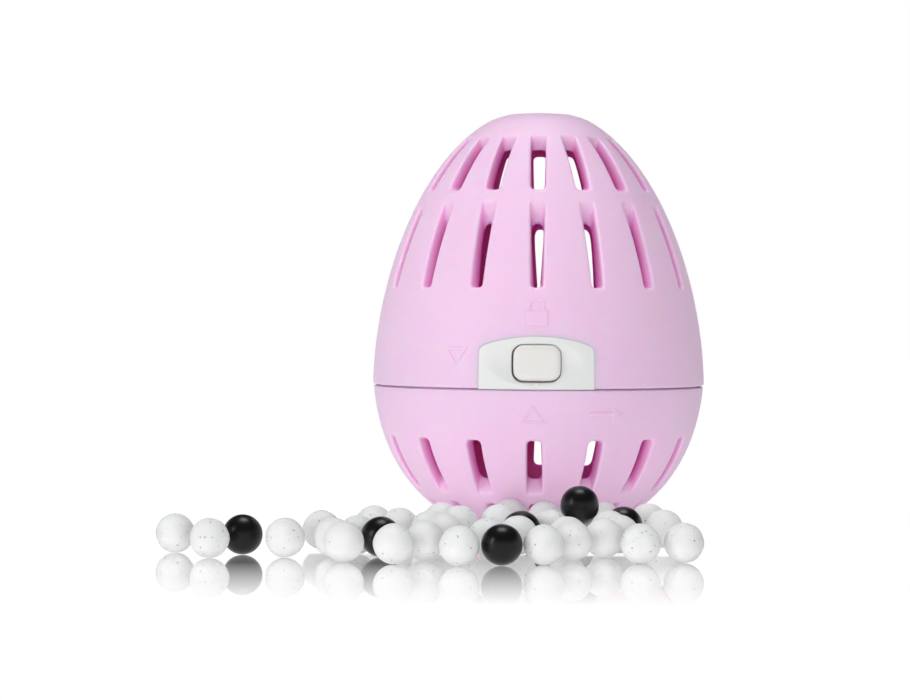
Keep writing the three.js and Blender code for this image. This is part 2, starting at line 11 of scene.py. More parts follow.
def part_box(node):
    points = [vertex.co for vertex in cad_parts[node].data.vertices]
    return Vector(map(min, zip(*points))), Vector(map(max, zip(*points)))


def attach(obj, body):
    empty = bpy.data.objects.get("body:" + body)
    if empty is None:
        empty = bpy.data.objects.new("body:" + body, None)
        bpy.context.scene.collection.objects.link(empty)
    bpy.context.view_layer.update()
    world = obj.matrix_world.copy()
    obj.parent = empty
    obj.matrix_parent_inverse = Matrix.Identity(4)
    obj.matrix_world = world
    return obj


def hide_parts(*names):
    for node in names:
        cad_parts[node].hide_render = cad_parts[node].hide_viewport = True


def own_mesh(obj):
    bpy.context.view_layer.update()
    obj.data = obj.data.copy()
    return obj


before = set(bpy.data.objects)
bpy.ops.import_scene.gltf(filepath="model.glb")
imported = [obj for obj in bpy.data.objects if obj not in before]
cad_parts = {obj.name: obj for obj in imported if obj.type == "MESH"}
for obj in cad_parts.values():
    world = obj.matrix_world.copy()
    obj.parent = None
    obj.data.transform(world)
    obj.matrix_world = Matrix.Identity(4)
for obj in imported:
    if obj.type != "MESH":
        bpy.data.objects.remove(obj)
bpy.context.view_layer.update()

# Shapes are modelled in millimetres and set in metres.
# Places round the egg are angles in degrees from the front, growing to the right.
MM = 0.001
FRONT = Vector((0, -1, 0))
RIGHT = Vector((1, 0, 0))
UP = Vector((0, 0, 1))
FULL_TURN = 2 * math.pi
RIGHT_ANGLE = math.pi / 2
WELD = 1e-3
SORT_WAY = Vector((0.31, 0.17, 1))


def box_mm(node):
    low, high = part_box(node)
    return low / MM, high / MM


# Egg. Its heights come from the frame.
SEAM_R = 46
CUP_STEP = 0.2
WALL = 2.7
VENT_WALL = 3.7
BASE_FLAT_R = 20
TOP_FLAT_R = 9
TOP_CROWN = 0.2
CAP_BLEND = 4.5
CAP_HANDLE = 0.35
CUP_TURN = -1.3
LID_TURN = -0.65
LID_LIFT = 0.3
CUP_LIFT = 0.5
FIT = 0.4
SEAT = 0.3
ROOT = 0.8
LID_RIM = box_mm("top_shell")[0].z + LID_LIFT
LID_TOP = box_mm("top_shell")[1].z
CUP_RIM = box_mm("bottom_shell")[1].z + CUP_LIFT
LID_H = LID_TOP - LID_RIM
LID_BELLY = (0.99, 0.41)
LID_SHOULDER = (0.68, 0.9)
CUP_FOOT = (0.685, 0.127)
CUP_BELLY = (0.95, 0.42)
CURVE_STEPS = 160
TURN_STEPS = 128

SMOOTH_ANGLE = 35

# Mesh helpers


def new_object(name, data):
    item = bpy.data.objects.new(name, data)
    bpy.context.scene.collection.objects.link(item)
    return item


def new_piece(name, bm):
    """Makes an object of a bmesh in millimetres. Its flatter edges are shaded smooth."""
    bm.normal_update()
    for face in bm.faces:
        face.smooth = True
    for edge in bm.edges:
        edge.smooth = len(edge.link_faces) == 2 and edge.calc_face_angle(0) < math.radians(SMOOTH_ANGLE)
    bmesh.ops.transform(bm, matrix=Matrix.Scale(MM, 4), verts=bm.verts)
    mesh = bpy.data.meshes.new(name)
    bm.to_mesh(mesh)
    bm.free()
    return new_object(name, mesh)


def add_to(bm, extra):
    """Adds a second bmesh to a first one and frees it."""
    mesh = bpy.data.meshes.new("working")
    extra.to_mesh(mesh)
    extra.free()
    bm.from_mesh(mesh)
    bpy.data.meshes.remove(mesh)


def combined(base, tool, operation):
    """Joins or cuts two closed bmeshes and gives back the result. Both are used up."""
    pieces = []
    for bm in (base, tool):
        mesh = bpy.data.meshes.new("working")
        bm.to_mesh(mesh)
        bm.free()
        pieces.append(new_object("working", mesh))
    work, cutter = pieces
    modifier = work.modifiers.new("combine", "BOOLEAN")
    modifier.operation = operation
    modifier.solver = "EXACT"
    modifier.object = cutter
    result = bmesh.new()
    result.from_object(work, bpy.context.evaluated_depsgraph_get())
    bmesh.ops.remove_doubles(result, verts=result.verts, dist=WELD / 10)
    bmesh.ops.holes_fill(result, edges=open_edges(result), sides=0)
    for piece in pieces:
        mesh = piece.data
        bpy.data.objects.remove(piece)
        bpy.data.meshes.remove(mesh)
    return result


def joined(base, tool):
    return combined(base, tool, "UNION")


def cut(base, tool):
    return combined(base, tool, "DIFFERENCE")


def open_edges(bm):
    return [edge for edge in bm.edges if edge.is_boundary]


def only(kind, items):
    """The vertices or the edges among the items that an operator made."""
    return [item for item in items if isinstance(item, kind)]


def loop_extruded(bm, edges):
    """Extrudes a loop of edges. Gives back the new vertices and the new loop."""
    made = bmesh.ops.extrude_edge_only(bm, edges=edges)["geom"]
    verts = only(bmesh.types.BMVert, made)
    fresh = set(verts)
    loop = [edge for edge in only(bmesh.types.BMEdge, made) if fresh.issuperset(edge.verts)]
    return verts, loop


def round_corners(bm, verts, radius, steps):
    """Rounds corners of a flat outline."""
    bmesh.ops.bevel(
        bm, geom=verts, offset=radius, segments=steps, profile=0.5, affect="VERTICES", material=-1
    )


def moved(bm, way):
    bmesh.ops.translate(bm, verts=bm.verts, vec=way)
    return bm


def spin(bm, geometry, angle, steps, **settings):
    """Spins geometry round the egg's axis."""
    bmesh.ops.spin(
        bm, geom=geometry, cent=(0, 0, 0), axis=UP, dvec=(0, 0, 0), angle=angle, steps=steps, **settings
    )


def turn(bm, angle):
    bmesh.ops.rotate(bm, verts=bm.verts, cent=(0, 0, 0), matrix=Matrix.Rotation(math.radians(angle), 3, "Z"))
    return bm


def put_in_order(bm):
    """Puts vertices and faces in one order, because an operator's order can differ from run to run."""
    bm.verts.sort(key=lambda vert: vert.co.dot(SORT_WAY))
    bm.faces.sort(key=lambda face: face.calc_center_median().dot(SORT_WAY))


def closed(bm):
    """Merges doubles and turns the faces outwards."""
    put_in_order(bm)
    bmesh.ops.remove_doubles(bm, verts=bm.verts, dist=WELD)
    bmesh.ops.recalc_face_normals(bm, faces=bm.faces)
    return bm


def turned(profile):
    """Turns a chain of [radius, height] points round the axis. Its ends lie on the axis or on each other."""
    bm = bmesh.new()
    verts = [bm.verts.new((0, -radius, height)) for radius, height in profile]
    edges = [bm.edges.new(pair) for pair in zip(verts, verts[1:])]
    spin(bm, verts + edges, FULL_TURN, TURN_STEPS, use_merge=True)
    return closed(bm)


def turned_ring(corners):
    """Turns a closed outline round the axis."""
    return turned(corners + corners[:1])


def sector_block(angle, span, inner, outer, bottom, top):
    """A block between two radii and two heights, centred on an angle."""
    bm = bmesh.new()
    corners = [(inner, bottom), (outer, bottom), (outer, top), (inner, top)]
    verts = [bm.verts.new((0, -radius, height)) for radius, height in corners]
    edges = [bm.edges.new(pair) for pair in zip(verts, verts[1:] + verts[:1])]
    spin(bm, verts + edges, math.radians(span), math.ceil(span * TURN_STEPS / 360))
    bmesh.ops.holes_fill(bm, edges=open_edges(bm), sides=4)
    return closed(turn(bm, angle - span / 2))


def sector_blocks(angles, *sizes):
    """Blocks of the same sizes at several angles."""
    bm = bmesh.new()
    for angle in angles:
        add_to(bm, sector_block(angle, *sizes))
    return bm


def flat_face(corners):
    """A flat face seen from the front, with its corners as [x, z]."""
    bm = bmesh.new()
    bm.faces.new([bm.verts.new((x, 0, z)) for x, z in corners])
    bm.normal_update()
    return bm


def block(corners, way):
    """A block made of a flat outline of [x, y, z] corners, drawn out one way."""
    bm = bmesh.new()
    face = bm.faces.new([bm.verts.new(corner) for corner in corners])
    bm.normal_update()
    made = bmesh.ops.extrude_face_region(bm, geom=[face])["geom"]
    bmesh.ops.translate(bm, verts=only(bmesh.types.BMVert, made), vec=way)
    return closed(bm)


def front_block(corners, near, far):
    """A block whose outline is seen from the front as [x, z] corners, from y = -near to y = -far."""
    return block([(x, -near, z) for x, z in corners], FRONT * (far - near))


# Outline curves, as [radius, height] points


class Skin:
    """The turned outline of one half of the egg, from the seam to the pole."""

    def __init__(self, points):
        self.points = points
        self.way = 1 if points[-1].y > points[0].y else -1
        self.heights = [self.way * point.y for point in points]

    def radius(self, height):
        i = bisect.bisect_left(self.heights, self.way * height, 1, len(self.heights) - 1)
        low, high = self.heights[i - 1], self.heights[i]
        share = (self.way * height - low) / (high - low)
        return self.points[i - 1].x + share * (self.points[i].x - self.points[i - 1].x)

    def front(self, x, height):
        """How far in front of the axis the skin stands at a sideways place."""
        return math.sqrt(max(self.radius(height) ** 2 - x * x, 0))

    def between(self, start, end, steps):
        """Places on the skin at even heights, without the first."""
        heights = [start + (end - start) * step / steps for step in range(1, steps + 1)]
        return [Vector((self.radius(height), height)) for height in heights]

    def inset(self, depth, vented_depth=None, blend=(0, 0)):
        """The skin moved inwards. Between two heights it goes over to a second depth, where one is given."""
        points = []
        start, end = blend
        for i, point in enumerate(self.points):
            along = self.points[min(i + 1, len(self.points) - 1)] - self.points[max(i - 1, 0)]
            inward = Vector((-along.y, along.x)).normalized() * self.way
            here = depth
            if vented_depth:
                share = min(max((point.y - start) / (end - start), 0), 1)
                here += (vented_depth - depth) * share * share * (3 - 2 * share)
            points.append(point + inward * here)
        points[0].y = self.points[0].y
        return Skin(points)


def bezier(start, start_handle, end_handle, end, steps=CURVE_STEPS):
    knots = [Vector((*point, 0)) for point in (start, start_handle, end_handle, end)]
    return [point.to_2d() for point in interpolate_bezier(*knots, steps)]


def lid_skin():
    edge = (TOP_FLAT_R, LID_TOP - TOP_CROWN)
    belly = (SEAM_R * LID_BELLY[0], LID_RIM + LID_H * LID_BELLY[1])
    shoulder = (SEAM_R * LID_SHOULDER[0], LID_RIM + LID_H * LID_SHOULDER[1])
    side = bezier((SEAM_R, LID_RIM), belly, shoulder, edge)
    side = [point for point in side if point.x > TOP_FLAT_R + CAP_BLEND]
    flat = Vector((TOP_FLAT_R - CAP_BLEND, LID_TOP - TOP_CROWN * (1 - CAP_BLEND / TOP_FLAT_R) ** 2))
    handles = [Vector(edge).lerp(end, CAP_HANDLE) for end in (side[-1], flat)]
    bend = bezier(side[-1], *handles, flat)
    return Skin(side[:-1] + bend + [Vector((0, LID_TOP))])


def cup_skin():
    foot = (SEAM_R * CUP_FOOT[0], CUP_RIM * CUP_FOOT[1])
    belly = (SEAM_R * CUP_BELLY[0], CUP_RIM * CUP_BELLY[1])
    return Skin(bezier((SEAM_R - CUP_STEP, CUP_RIM), belly, foot, (BASE_FLAT_R, 0)))


LID_SKIN = lid_skin()
CUP_SKIN = cup_skin()
LID_INNER = LID_SKIN.inset(WALL)
CUP_INNER = CUP_SKIN.inset(WALL)

# Vents: each is cut straight in, with a ledge near the seam. Its floor fades into the skin towards the pole.
# The ledge and the fade are shares of the half's height, counted from the seam.
VENTS = 16
SECTOR = FULL_TURN / VENTS
EDGE_ROUND = 0.75
EDGE_STEPS = 4
EDGE_SHARE = 0.45
FADE_BLEND = 0.7
FADE_RUN = 2.4
CORNER_STEPS = 6
CORNER_LEAN = 0.85
SIDE_STEP = 1.2
SKIN_MARGIN = 0.18
SKIN_CUTS = 2
WALL_LEAN = 0.1
MIDDLE_FLAT = 0.15


def soft_depth(depth):
    """Depth that fades softly to nothing where a cut runs out of the skin."""
    if depth > FADE_BLEND:
        return depth
    return max(depth + FADE_BLEND, 0) ** 2 / (4 * FADE_BLEND)


class Vent:
    """One vent's sizes. Its floor leans in towards the ledge, and there its sides lean in most too."""

    def __init__(
        self, skin, half_height, ledge, fade, run_out, widths, corners, floor_round, floor_lean, ledge_lean
    ):
        rim = skin.points[0].y
        self.skin = skin
        self.ledge = rim + skin.way * half_height * ledge
        self.fade = rim + skin.way * half_height * fade
        self.end = self.fade + skin.way * run_out
        self.ledge_half, self.end_half = [width / 2 for width in widths]
        self.ledge_corner, self.end_corner = corners
        self.floor_round = floor_round
        self.floor_lean = floor_lean
        self.ledge_lean = ledge_lean

    def depth(self, x, height):
        floor = self.skin.radius(self.fade) - self.floor_lean * abs(self.fade - height)
        left = min(abs(self.end - height) / FADE_RUN, 1)
        return soft_depth(self.skin.front(x, height) - floor) * left * (2 - left)

    def edge_depth(self, depth, lean):
        return min(EDGE_ROUND, EDGE_SHARE * depth) * (1 - math.cos(lean))

    def floor_depth(self, depth, lean):
        return depth - min(self.floor_round, EDGE_SHARE * depth) * (1 - math.sin(lean))

    def wall_depth(self, depth):
        """Where a wall stops leaning in: at the shell's inner face, or halfway down a shallow wall."""
        return min((self.edge_depth(depth, RIGHT_ANGLE) + self.floor_depth(depth, 0)) / 2, VENT_WALL)

    def corner(self, height):
        share = (height - self.ledge) / (self.end - self.ledge)
        return self.ledge_corner + (self.end_corner - self.ledge_corner) * share

    def wall_inset(self, height, sideways, depth):
        share = (self.end - height) / (self.end - self.ledge)
        return (WALL_LEAN + self.ledge_lean * share ** 2) * sideways * min(depth / VENT_WALL, 1)


LID_VENTS = [
    Vent(
        LID_SKIN, LID_H, 0.354, 0.665, 0.6, widths=(3.2, 3.9), corners=(1, 1.5), floor_round=1.45,
        floor_lean=0.165, ledge_lean=0.75,
    ),
    Vent(
        LID_SKIN, LID_H, 0.703, 0.906, 0.45, widths=(4.1, 4.1), corners=(1.2, 1.2), floor_round=1.2,
        floor_lean=0.24, ledge_lean=0.2,
    ),
]
CUP_VENTS = [
    Vent(
        CUP_SKIN, CUP_RIM, 0.348, 0.731, 0.6, widths=(4.1, 4.1), corners=(1.2, 1.5), floor_round=1.4,
        floor_lean=0.27, ledge_lean=0.2,
    ),
    Vent(
        CUP_SKIN, CUP_RIM, 0.8, 0.9405, 0.25, widths=(3.4, 3.4), corners=(1.2, 1.2), floor_round=0.9,
        floor_lean=0.32, ledge_lean=0.2,
    ),
]
# Heights where one row's skin ends and the next begins, from the seam to the pole
LEDGE_MARGIN = 4
LID_ROW_SPLIT = 90.88
LID_CAP_MARGIN = 1.3
CUP_ROW_SPLIT = 8.84
CUP_BASE_EDGE = 0.6
LID_ROWS = [LID_VENTS[0].ledge - LEDGE_MARGIN, LID_ROW_SPLIT, LID_VENTS[1].end + LID_CAP_MARGIN]
CUP_ROWS = [CUP_VENTS[0].ledge + LEDGE_MARGIN, CUP_ROW_SPLIT, CUP_BASE_EDGE]


def vent_outline(bm, vent):
    """Draws a vent's outline flat, x across and z up, with round corners. Gives back its edges."""
    corners = [
        (-vent.ledge_half, vent.ledge), (vent.ledge_half, vent.ledge),
        (vent.end_half, vent.end), (-vent.end_half, vent.end),
    ]
    bm.faces.new([bm.verts.new((x, 0, z)) for x, z in corners])
    for height in (vent.ledge, vent.end):
        verts = [vert for vert in bm.verts if abs(vert.co.z - height) < WELD]
        round_corners(bm, verts, vent.corner(height), CORNER_STEPS)
    bmesh.ops.delete(bm, geom=bm.faces[:], context="FACES_ONLY")
    sides = sorted(bm.edges, key=lambda edge: edge.calc_length())[-2:]
    ends = [edge for edge in bm.edges if abs(sum(vert.co.x for vert in edge.verts)) < WELD]
    rows = round(sides[0].calc_length() / SIDE_STEP)
    bmesh.ops.subdivide_edges(bm, edges=sides, cuts=rows)
    bmesh.ops.subdivide_edges(bm, edges=ends, cuts=1)
    return bm.edges[:]


def mark_home(bm, vent):
    """Stores each outline vertex's place and its way out of the vent, which later rings inherit."""
    home = bm.verts.layers.float_vector.new("home")
    outward = bm.verts.layers.float_vector.new("outward")
    middle = Vector((0, 0, (vent.ledge + vent.end) / 2))
    for vert in bm.verts:
        near, far = [edge.other_vert(vert).co for edge in vert.link_edges]
        across = (far - near).normalized().cross(FRONT)
        if across.dot(vert.co - middle) < 0:
            across.negate()
        vert[home] = vert.co
        vert[outward] = across
    return home, outward


def vent_tile(vent, start, end):
    """One sector of the skin between two heights, with its vent."""
    bm = bmesh.new()
    outline = vent_outline(bm, vent)
    home, outward = mark_home(bm, vent)

    def ring(loop, inset_of, depth_of):
        """Draws the next ring. Its inset and its depth follow from the vent's depth there."""
        verts, new_loop = loop_extruded(bm, loop)
        for vert in verts:
            begin = vert[home]
            out = vert[outward]
            place = begin - out * inset_of(begin.z, abs(out.x), vent.depth(begin.x, begin.z))
            vert.co = (place.x, depth_of(vent.depth(place.x, place.z)), place.z)
        return new_loop

    def wall_inset(height, sideways, depth):
        return vent.wall_inset(height, sideways, vent.wall_depth(depth))

    def floor_inset(height, sideways, depth):
        wall = vent.wall_inset(height, sideways, vent.floor_depth(depth, 0))
        reach = min(vent.floor_round, vent.corner(height))
        return min(wall + reach * (1 - math.cos(lean)), vent.ledge_half - MIDDLE_FLAT)

    # The rounded edge, from the outline's foot out to the skin
    for vert in bm.verts:
        vert.co.y = vent.edge_depth(vent.depth(vert.co.x, vert.co.z), RIGHT_ANGLE)
    loop = outline
    for step in range(EDGE_STEPS - 1, -1, -1):
        lean = RIGHT_ANGLE * step / EDGE_STEPS
        reach = EDGE_ROUND * (1 - math.sin(lean))
        loop = ring(loop, lambda *place: -reach, lambda depth: vent.edge_depth(depth, lean))
    loop = ring(loop, lambda *place: -EDGE_ROUND - SKIN_MARGIN, lambda depth: 0)
    to_sector_edges(bm, vent.skin, loop, (home, outward), start, end)

    # The wall and the rounded floor, from the outline in to the middle line
    loop = ring(outline, wall_inset, vent.wall_depth)
    for step in range(EDGE_STEPS + 1):
        lean = RIGHT_ANGLE * step / EDGE_STEPS
        loop = ring(loop, floor_inset, lambda depth: vent.floor_depth(depth, lean))
    verts, loop = loop_extruded(bm, loop)
    low, high = sorted((vent.ledge, vent.end))
    for vert in verts:
        height = min(max(vert[home].z, low + vent.corner(low)), high - vent.corner(high))
        vert.co = (0, vent.depth(0, height), height)
    put_in_order(bm)
    bmesh.ops.remove_doubles(bm, verts=bm.verts, dist=WELD)

    for vert in bm.verts:
        vert.co.y -= vent.skin.front(vert.co.x, vert.co.z)
    for layer in (home, outward):
        bm.verts.layers.float_vector.remove(layer)
    return bm


def to_sector_edges(bm, skin, loop, layers, start, end):
    """Draws the last ring out to the sector's straight edges, with rows of faces between."""
    home, outward = layers
    before = set(bm.edges)
    verts, loop = loop_extruded(bm, loop)
    low, high = sorted((start, end))
    heights = [vert.co.z for vert in verts]
    bottom, top = min(heights), max(heights)
    rows = {low: [], high: []}
    for vert in verts:
        out = vert[outward]
        height = low + (vert.co.z - bottom) / (top - bottom) * (high - low)
        if abs(out.z) > CORNER_LEAN * abs(out.x):
            height = high if out.z > 0 else low
            rows[height].append(vert)
        vert.co = (math.copysign(1, out.x), 0, height)
    for row in rows.values():
        row.sort(key=lambda vert: vert[home].x)
        for i, vert in enumerate(row):
            vert.co.x = 2 * i / (len(row) - 1) - 1
    for vert in verts:
        vert.co.x = skin.radius(vert.co.z) * math.sin(vert.co.x * SECTOR / 2)
    edges = set(loop)
    spokes = [edge for edge in bm.edges if edge not in before and edge not in edges]
    bmesh.ops.subdivide_edges(bm, edges=spokes, cuts=SKIN_CUTS, use_grid_fill=True)


# Shells

RIM_ROUND = 0.45
RIM_STEPS = 4
BAND_STEPS = 12
POLE_STEPS = 10
POLE_DROP = 0.02
# Share of painted shade taken off a vent's floor where it faces out
VENT_FLOOR_SHADE_CUT = 0.7
HOLLOW_STEPS = 40
DEPTH_STEP = 0.2


def drawn_along(bm, loop, places):
    """Extrudes a loop round the axis to each [radius, height] in turn."""
    for radius, height in places:
        verts, loop = loop_extruded(bm, loop)
        for vert in verts:
            flat = vert.co.xy.normalized() * radius
            vert.co = (flat.x, flat.y, height)
    return loop


def vented_solid(skin, vents, rows, pole_places):
    """The solid inside a skin, with the vents' pockets in it."""
    bm = bmesh.new()
    for vent, start, end in zip(vents, rows, rows[1:]):
        add_to(bm, vent_tile(vent, start, end))
    spin(bm, bm.verts[:] + bm.edges[:] + bm.faces[:], FULL_TURN - SECTOR, VENTS - 1, use_duplicate=True)
    bmesh.ops.remove_doubles(bm, verts=bm.verts, dist=WELD)
    edges = open_edges(bm)
    middle = (rows[0] + rows[-1]) / 2
    seam_loop = [edge for edge in edges if (edge.verts[0].co.z - middle) * skin.way < 0]
    pole_loop = [edge for edge in edges if (edge.verts[0].co.z - middle) * skin.way > 0]

    rim = skin.points[0].y
    rim_places = skin.between(rows[0], rim + skin.way * RIM_ROUND, BAND_STEPS)
    for step in range(1, RIM_STEPS + 1):
        lean = RIGHT_ANGLE * step / RIM_STEPS
        inset = RIM_ROUND * (1 - math.cos(lean))
        rise = RIM_ROUND * (1 - math.sin(lean))
        rim_places.append(Vector((skin.points[0].x - inset, rim + skin.way * rise)))
    for loop, places in ((seam_loop, rim_places), (pole_loop, pole_places)):
        loop = drawn_along(bm, loop, places)
        bmesh.ops.contextual_create(bm, geom=loop)
    return closed(bm)


def hollow(skin, blend, floor_height):
    """The solid to take out of a shell. It runs past the rim, and leaves a thicker wall round the vents."""
    inner = skin.inset(WALL, VENT_WALL, blend)
    rim = skin.points[0].y
    past = rim - skin.way * WALL
    step = len(inner.points) // HOLLOW_STEPS
    wall = [point for point in inner.points[::step] if point.x > TOP_FLAT_R / 2]
    return turned([(0, past), (wall[0].x, past), *wall, (0, floor_height)])


def store_shade_depth(bm, skin):
    """Stores each vertex's depth, from 0 on the skin to 1 at the inner wall, for painted shade. A vent's
    floor, facing out, counts less.
    """
    bm.normal_update()
    pole = Vector((0, skin.points[-1].y))
    places = [pole]
    for start, end in zip(skin.points, skin.points[1:] + [pole]):
        steps = math.ceil((end - start).length / DEPTH_STEP)
        places += [start.lerp(end, step / steps) for step in range(steps)]
    tree = kdtree.KDTree(len(places))
    for i, place in enumerate(places):
        tree.insert((place.x, place.y, 0), i)
    tree.balance()
    layer = bm.verts.layers.float.new("depth")
    for vert in bm.verts:
        radius = vert.co.xy.length
        distance = tree.find((radius, vert.co.z, 0))[2]
        facing = max(vert.normal.xy.dot(vert.co.xy) / radius, 0) if radius else 0
        vert[layer] = min(distance / VENT_WALL, 1) * (1 - VENT_FLOOR_SHADE_CUT * facing)


# Raised marks: closed, line up to open, and the way to turn
MARK_RISE = 0.3
MARK_ROOT = 0.4
MARK_SLOPE = 0.28
MARK_LINE = 0.9
MARK_STRIP = 1.1
LOCK_W = 6.2
LOCK_BODY_H = 4.3
LOCK_BOW_W = 4.7
LOCK_BOW_H = 3.2
LOCK_FOOT = LID_RIM + 16.6
BOW_STEPS = 10
TRIANGLE_W = 7.6
TRIANGLE_H = 5.4
OPEN_MARK_ANGLE = -28
OPEN_MARK_TOP = LID_RIM + 5.5 + TRIANGLE_H
LINE_UP_ANGLE = -0.6
LINE_UP_FOOT = CUP_RIM - 8.9
ARROW_L = 9.8
ARROW_HEAD_L = 3.2
ARROW_H = 4.6
ARROW_SHAFT = 1.5
ARROW_ANGLE = 25
ARROW_FOOT = CUP_RIM - 8.7


def padlock_mark():
    bow = LOCK_BOW_W / 2
    bow_inner = bow - MARK_LINE
    body_top = LOCK_FOOT + LOCK_BODY_H
    bow_middle = body_top + LOCK_BOW_H - bow
    half = LOCK_W / 2
    bm = flat_face([
        (-half, LOCK_FOOT), (half, LOCK_FOOT), (half, body_top), (bow, body_top), (bow_inner, body_top),
        (-bow_inner, body_top), (-bow, body_top), (-half, body_top),
    ])
    middle = (bow_inner + bow) / 2
    foot = min(bm.edges, key=lambda edge: abs(sum(vert.co.x for vert in edge.verts) / 2 - middle))
    verts, edges = loop_extruded(bm, [foot])
    for vert in verts:
        vert.co.z = bow_middle
    arch = bmesh.ops.spin(
        bm, geom=verts + edges, cent=(0, 0, bow_middle), axis=FRONT, dvec=(0, 0, 0), angle=math.pi,
        steps=BOW_STEPS,
    )
    verts, edges = loop_extruded(bm, only(bmesh.types.BMEdge, arch["geom_last"]))
    for vert in verts:
        vert.co.z = body_top
    return closed(bm)


def triangle_mark(foot, height):
    """A triangle drawn as a line. A negative height points it down."""
    half = TRIANGLE_W / 2
    bm = flat_face([(-half, foot), (half, foot), (0, foot + height)])
    inner = bm.faces[:]
    bmesh.ops.inset_region(bm, faces=inner, thickness=MARK_LINE, use_boundary=True, use_even_offset=True)
    bmesh.ops.delete(bm, geom=inner, context="FACES_ONLY")
    return bm


def arrow_mark():
    middle = ARROW_FOOT + ARROW_H / 2
    neck = ARROW_L / 2 - ARROW_HEAD_L
    shaft = ARROW_SHAFT / 2
    return flat_face([
        (-ARROW_L / 2, middle - shaft), (neck, middle - shaft), (neck, ARROW_FOOT), (ARROW_L / 2, middle),
        (neck, ARROW_FOOT + ARROW_H), (neck, middle + shaft), (-ARROW_L / 2, middle + shaft),
    ])


def laid_on(bm, skin, angle):
    """Slices a flat mark into strips, gives it its thickness and sloped sides, and bends it onto a skin."""
    half = max(vert.co.x for vert in bm.verts)
    foot = bm.verts.layers.float.new("foot")
    for vert in bm.verts:
        vert[foot] = 1
    rim = bmesh.ops.inset_region(
        bm, faces=bm.faces[:], thickness=MARK_SLOPE, use_boundary=True, use_even_offset=True
    )["faces"]
    top = {vert for face in bm.faces if face not in rim for vert in face.verts}
    for vert in top:
        vert[foot] = 0
    strips = math.ceil(2 * half / MARK_STRIP)
    for strip in range(1, strips):
        place = RIGHT * (2 * half * strip / strips - half)
        geometry = bm.verts[:] + bm.edges[:] + bm.faces[:]
        bmesh.ops.bisect_plane(bm, geom=geometry, plane_co=place, plane_no=RIGHT)
    bm.normal_update()
    bmesh.ops.solidify(bm, geom=bm.faces[:], thickness=MARK_ROOT + MARK_RISE)
    for vert in bm.verts:
        depth = MARK_RISE * (2 * vert[foot] - 1) if abs(vert.co.y) < MARK_RISE else MARK_RISE + MARK_ROOT
        vert.co.y = depth - skin.front(vert.co.x, vert.co.z)
    bm.verts.layers.float.remove(foot)
    return closed(turn(bm, angle))


# Lock panel, let into the front of the lid's rim, and the button in its window
PANEL_W = 30.6
PANEL_H = 13.8
PANEL_SIDE_H = 9.3
PANEL_SHOULDER_W = 3
PANEL_SHOULDER_H = 12.1
PANEL_LINE = 0.01
PANEL_DROP = 0.12
PANEL_EDGE = 0.03
SHOULDER_STEPS = 8
CREST_STEPS = 24
LIP_OUTER = WALL + SEAT
LIP_T = 1.6
LIP_INNER = LIP_OUTER + LIP_T
LIP_REACH = 2
DISH_W = 25.4
DISH_H = 11.8
DISH_DEPTH = 2
DISH_RINGS = 5
PANEL_RINGS = 6
WINDOW_FIT = 0.3
WINDOW_ROUND = 0.3
WINDOW_STEPS = 3
BRACKET_H = 6
BRACKET_T = 1.5
BUTTON_W = 12.1
BUTTON_H = 9.15
BUTTON_CORNER = 2.3
BUTTON_BOW = 0.2
BUTTON_CORNER_STEPS = 8
BUTTON_STEP = 0.35
BUTTON_Z = LID_RIM + 6.7
BUTTON_SHIFT = (0.17, 0, 0.15)
BUTTON_FRONT = LID_SKIN.radius(BUTTON_Z) + 0.2
BUTTON_EDGE_DROP = 0.75
BUTTON_EDGE_POWER = 12
BUTTON_CROWN = 0.22
BUTTON_RINGS = [0.985, 0.965, 0.94, 0.91, 0.87, 0.82, 0.75, 0.66, 0.52, 0.36, 0.18]
FLANGE_REACH = 0.9
FLANGE_T = 1.2
CATCH_W = 6
CATCH_T = 1.4
CATCH_TOOTH = 1
CATCH_DROP = 2.8
TOOTH_H = 2
SPRING_BOW = 4.2
SPRING_SPAN = 9
SPRING_T = 0.6
SPRING_W = 3.5
SPRING_EDGE = 0.12
SOFT_EDGE = 0.2
SHARP_ANGLE = 40
GATE_R = 0.55
GATE_RISE = 0.1
GATE_HEIGHT = 0.9

# Lock ring, with lugs that turn under the cup's hooks
RING_WALL = 1.8
RING_BOTTOM = box_mm("lock_ring")[0].z
RING_TOP = box_mm("lock_ring")[1].z
RING_SEAT = RING_BOTTOM - SEAT
SEAT_REACH = 1
SEAT_T = 2
LUGS = 3
LUG_SPAN = 22
LUG_T = 2
LUG_REACH = 1.2
LUG_FIRST = 60
LUG_ANGLES = [LUG_FIRST + i * 360 / LUGS for i in range(LUGS)]
RIB_ANGLES = [75, 180, 285]
RIB_SPAN = 30
RIB_REACH = 1.8
RIB_T = 1.6

# Places that the lock's pieces share
LUG_TOP = RING_BOTTOM + LUG_T
LUG_R = CUP_INNER.radius(RING_BOTTOM) - FIT
HOOK_R = LUG_R - LUG_REACH
RING_OUTER = HOOK_R - FIT
RING_INNER = RING_OUTER - RING_WALL
WEB_BOTTOM = CUP_RIM + SEAT
WEB_TOP = WEB_BOTTOM + RING_WALL
LID_THICKENS = (LID_RIM + PANEL_H + LIP_REACH, LID_VENTS[0].ledge)
CUP_THICKENS = (RING_SEAT - SEAT_T, CUP_VENTS[0].ledge)
FLANGE_HALF_W = BUTTON_W / 2 + FLANGE_REACH
FLANGE_HALF_H = BUTTON_H / 2 + FLANGE_REACH
LIP_R = LID_SKIN.inset(LIP_INNER).radius(BUTTON_Z + FLANGE_HALF_H)
BUTTON_FLANGE = math.sqrt(LIP_R ** 2 - FLANGE_HALF_W ** 2) - FIT
BUTTON_ROOT = BUTTON_FLANGE - FLANGE_T
SPRING_FRONT = BUTTON_ROOT - SEAT
BRIDGE_FRONT = SPRING_FRONT - SPRING_BOW - SEAT
TOOTH_TOP = CUP_RIM - CATCH_DROP
TOOTH_BOTTOM = TOOTH_TOP - TOOTH_H


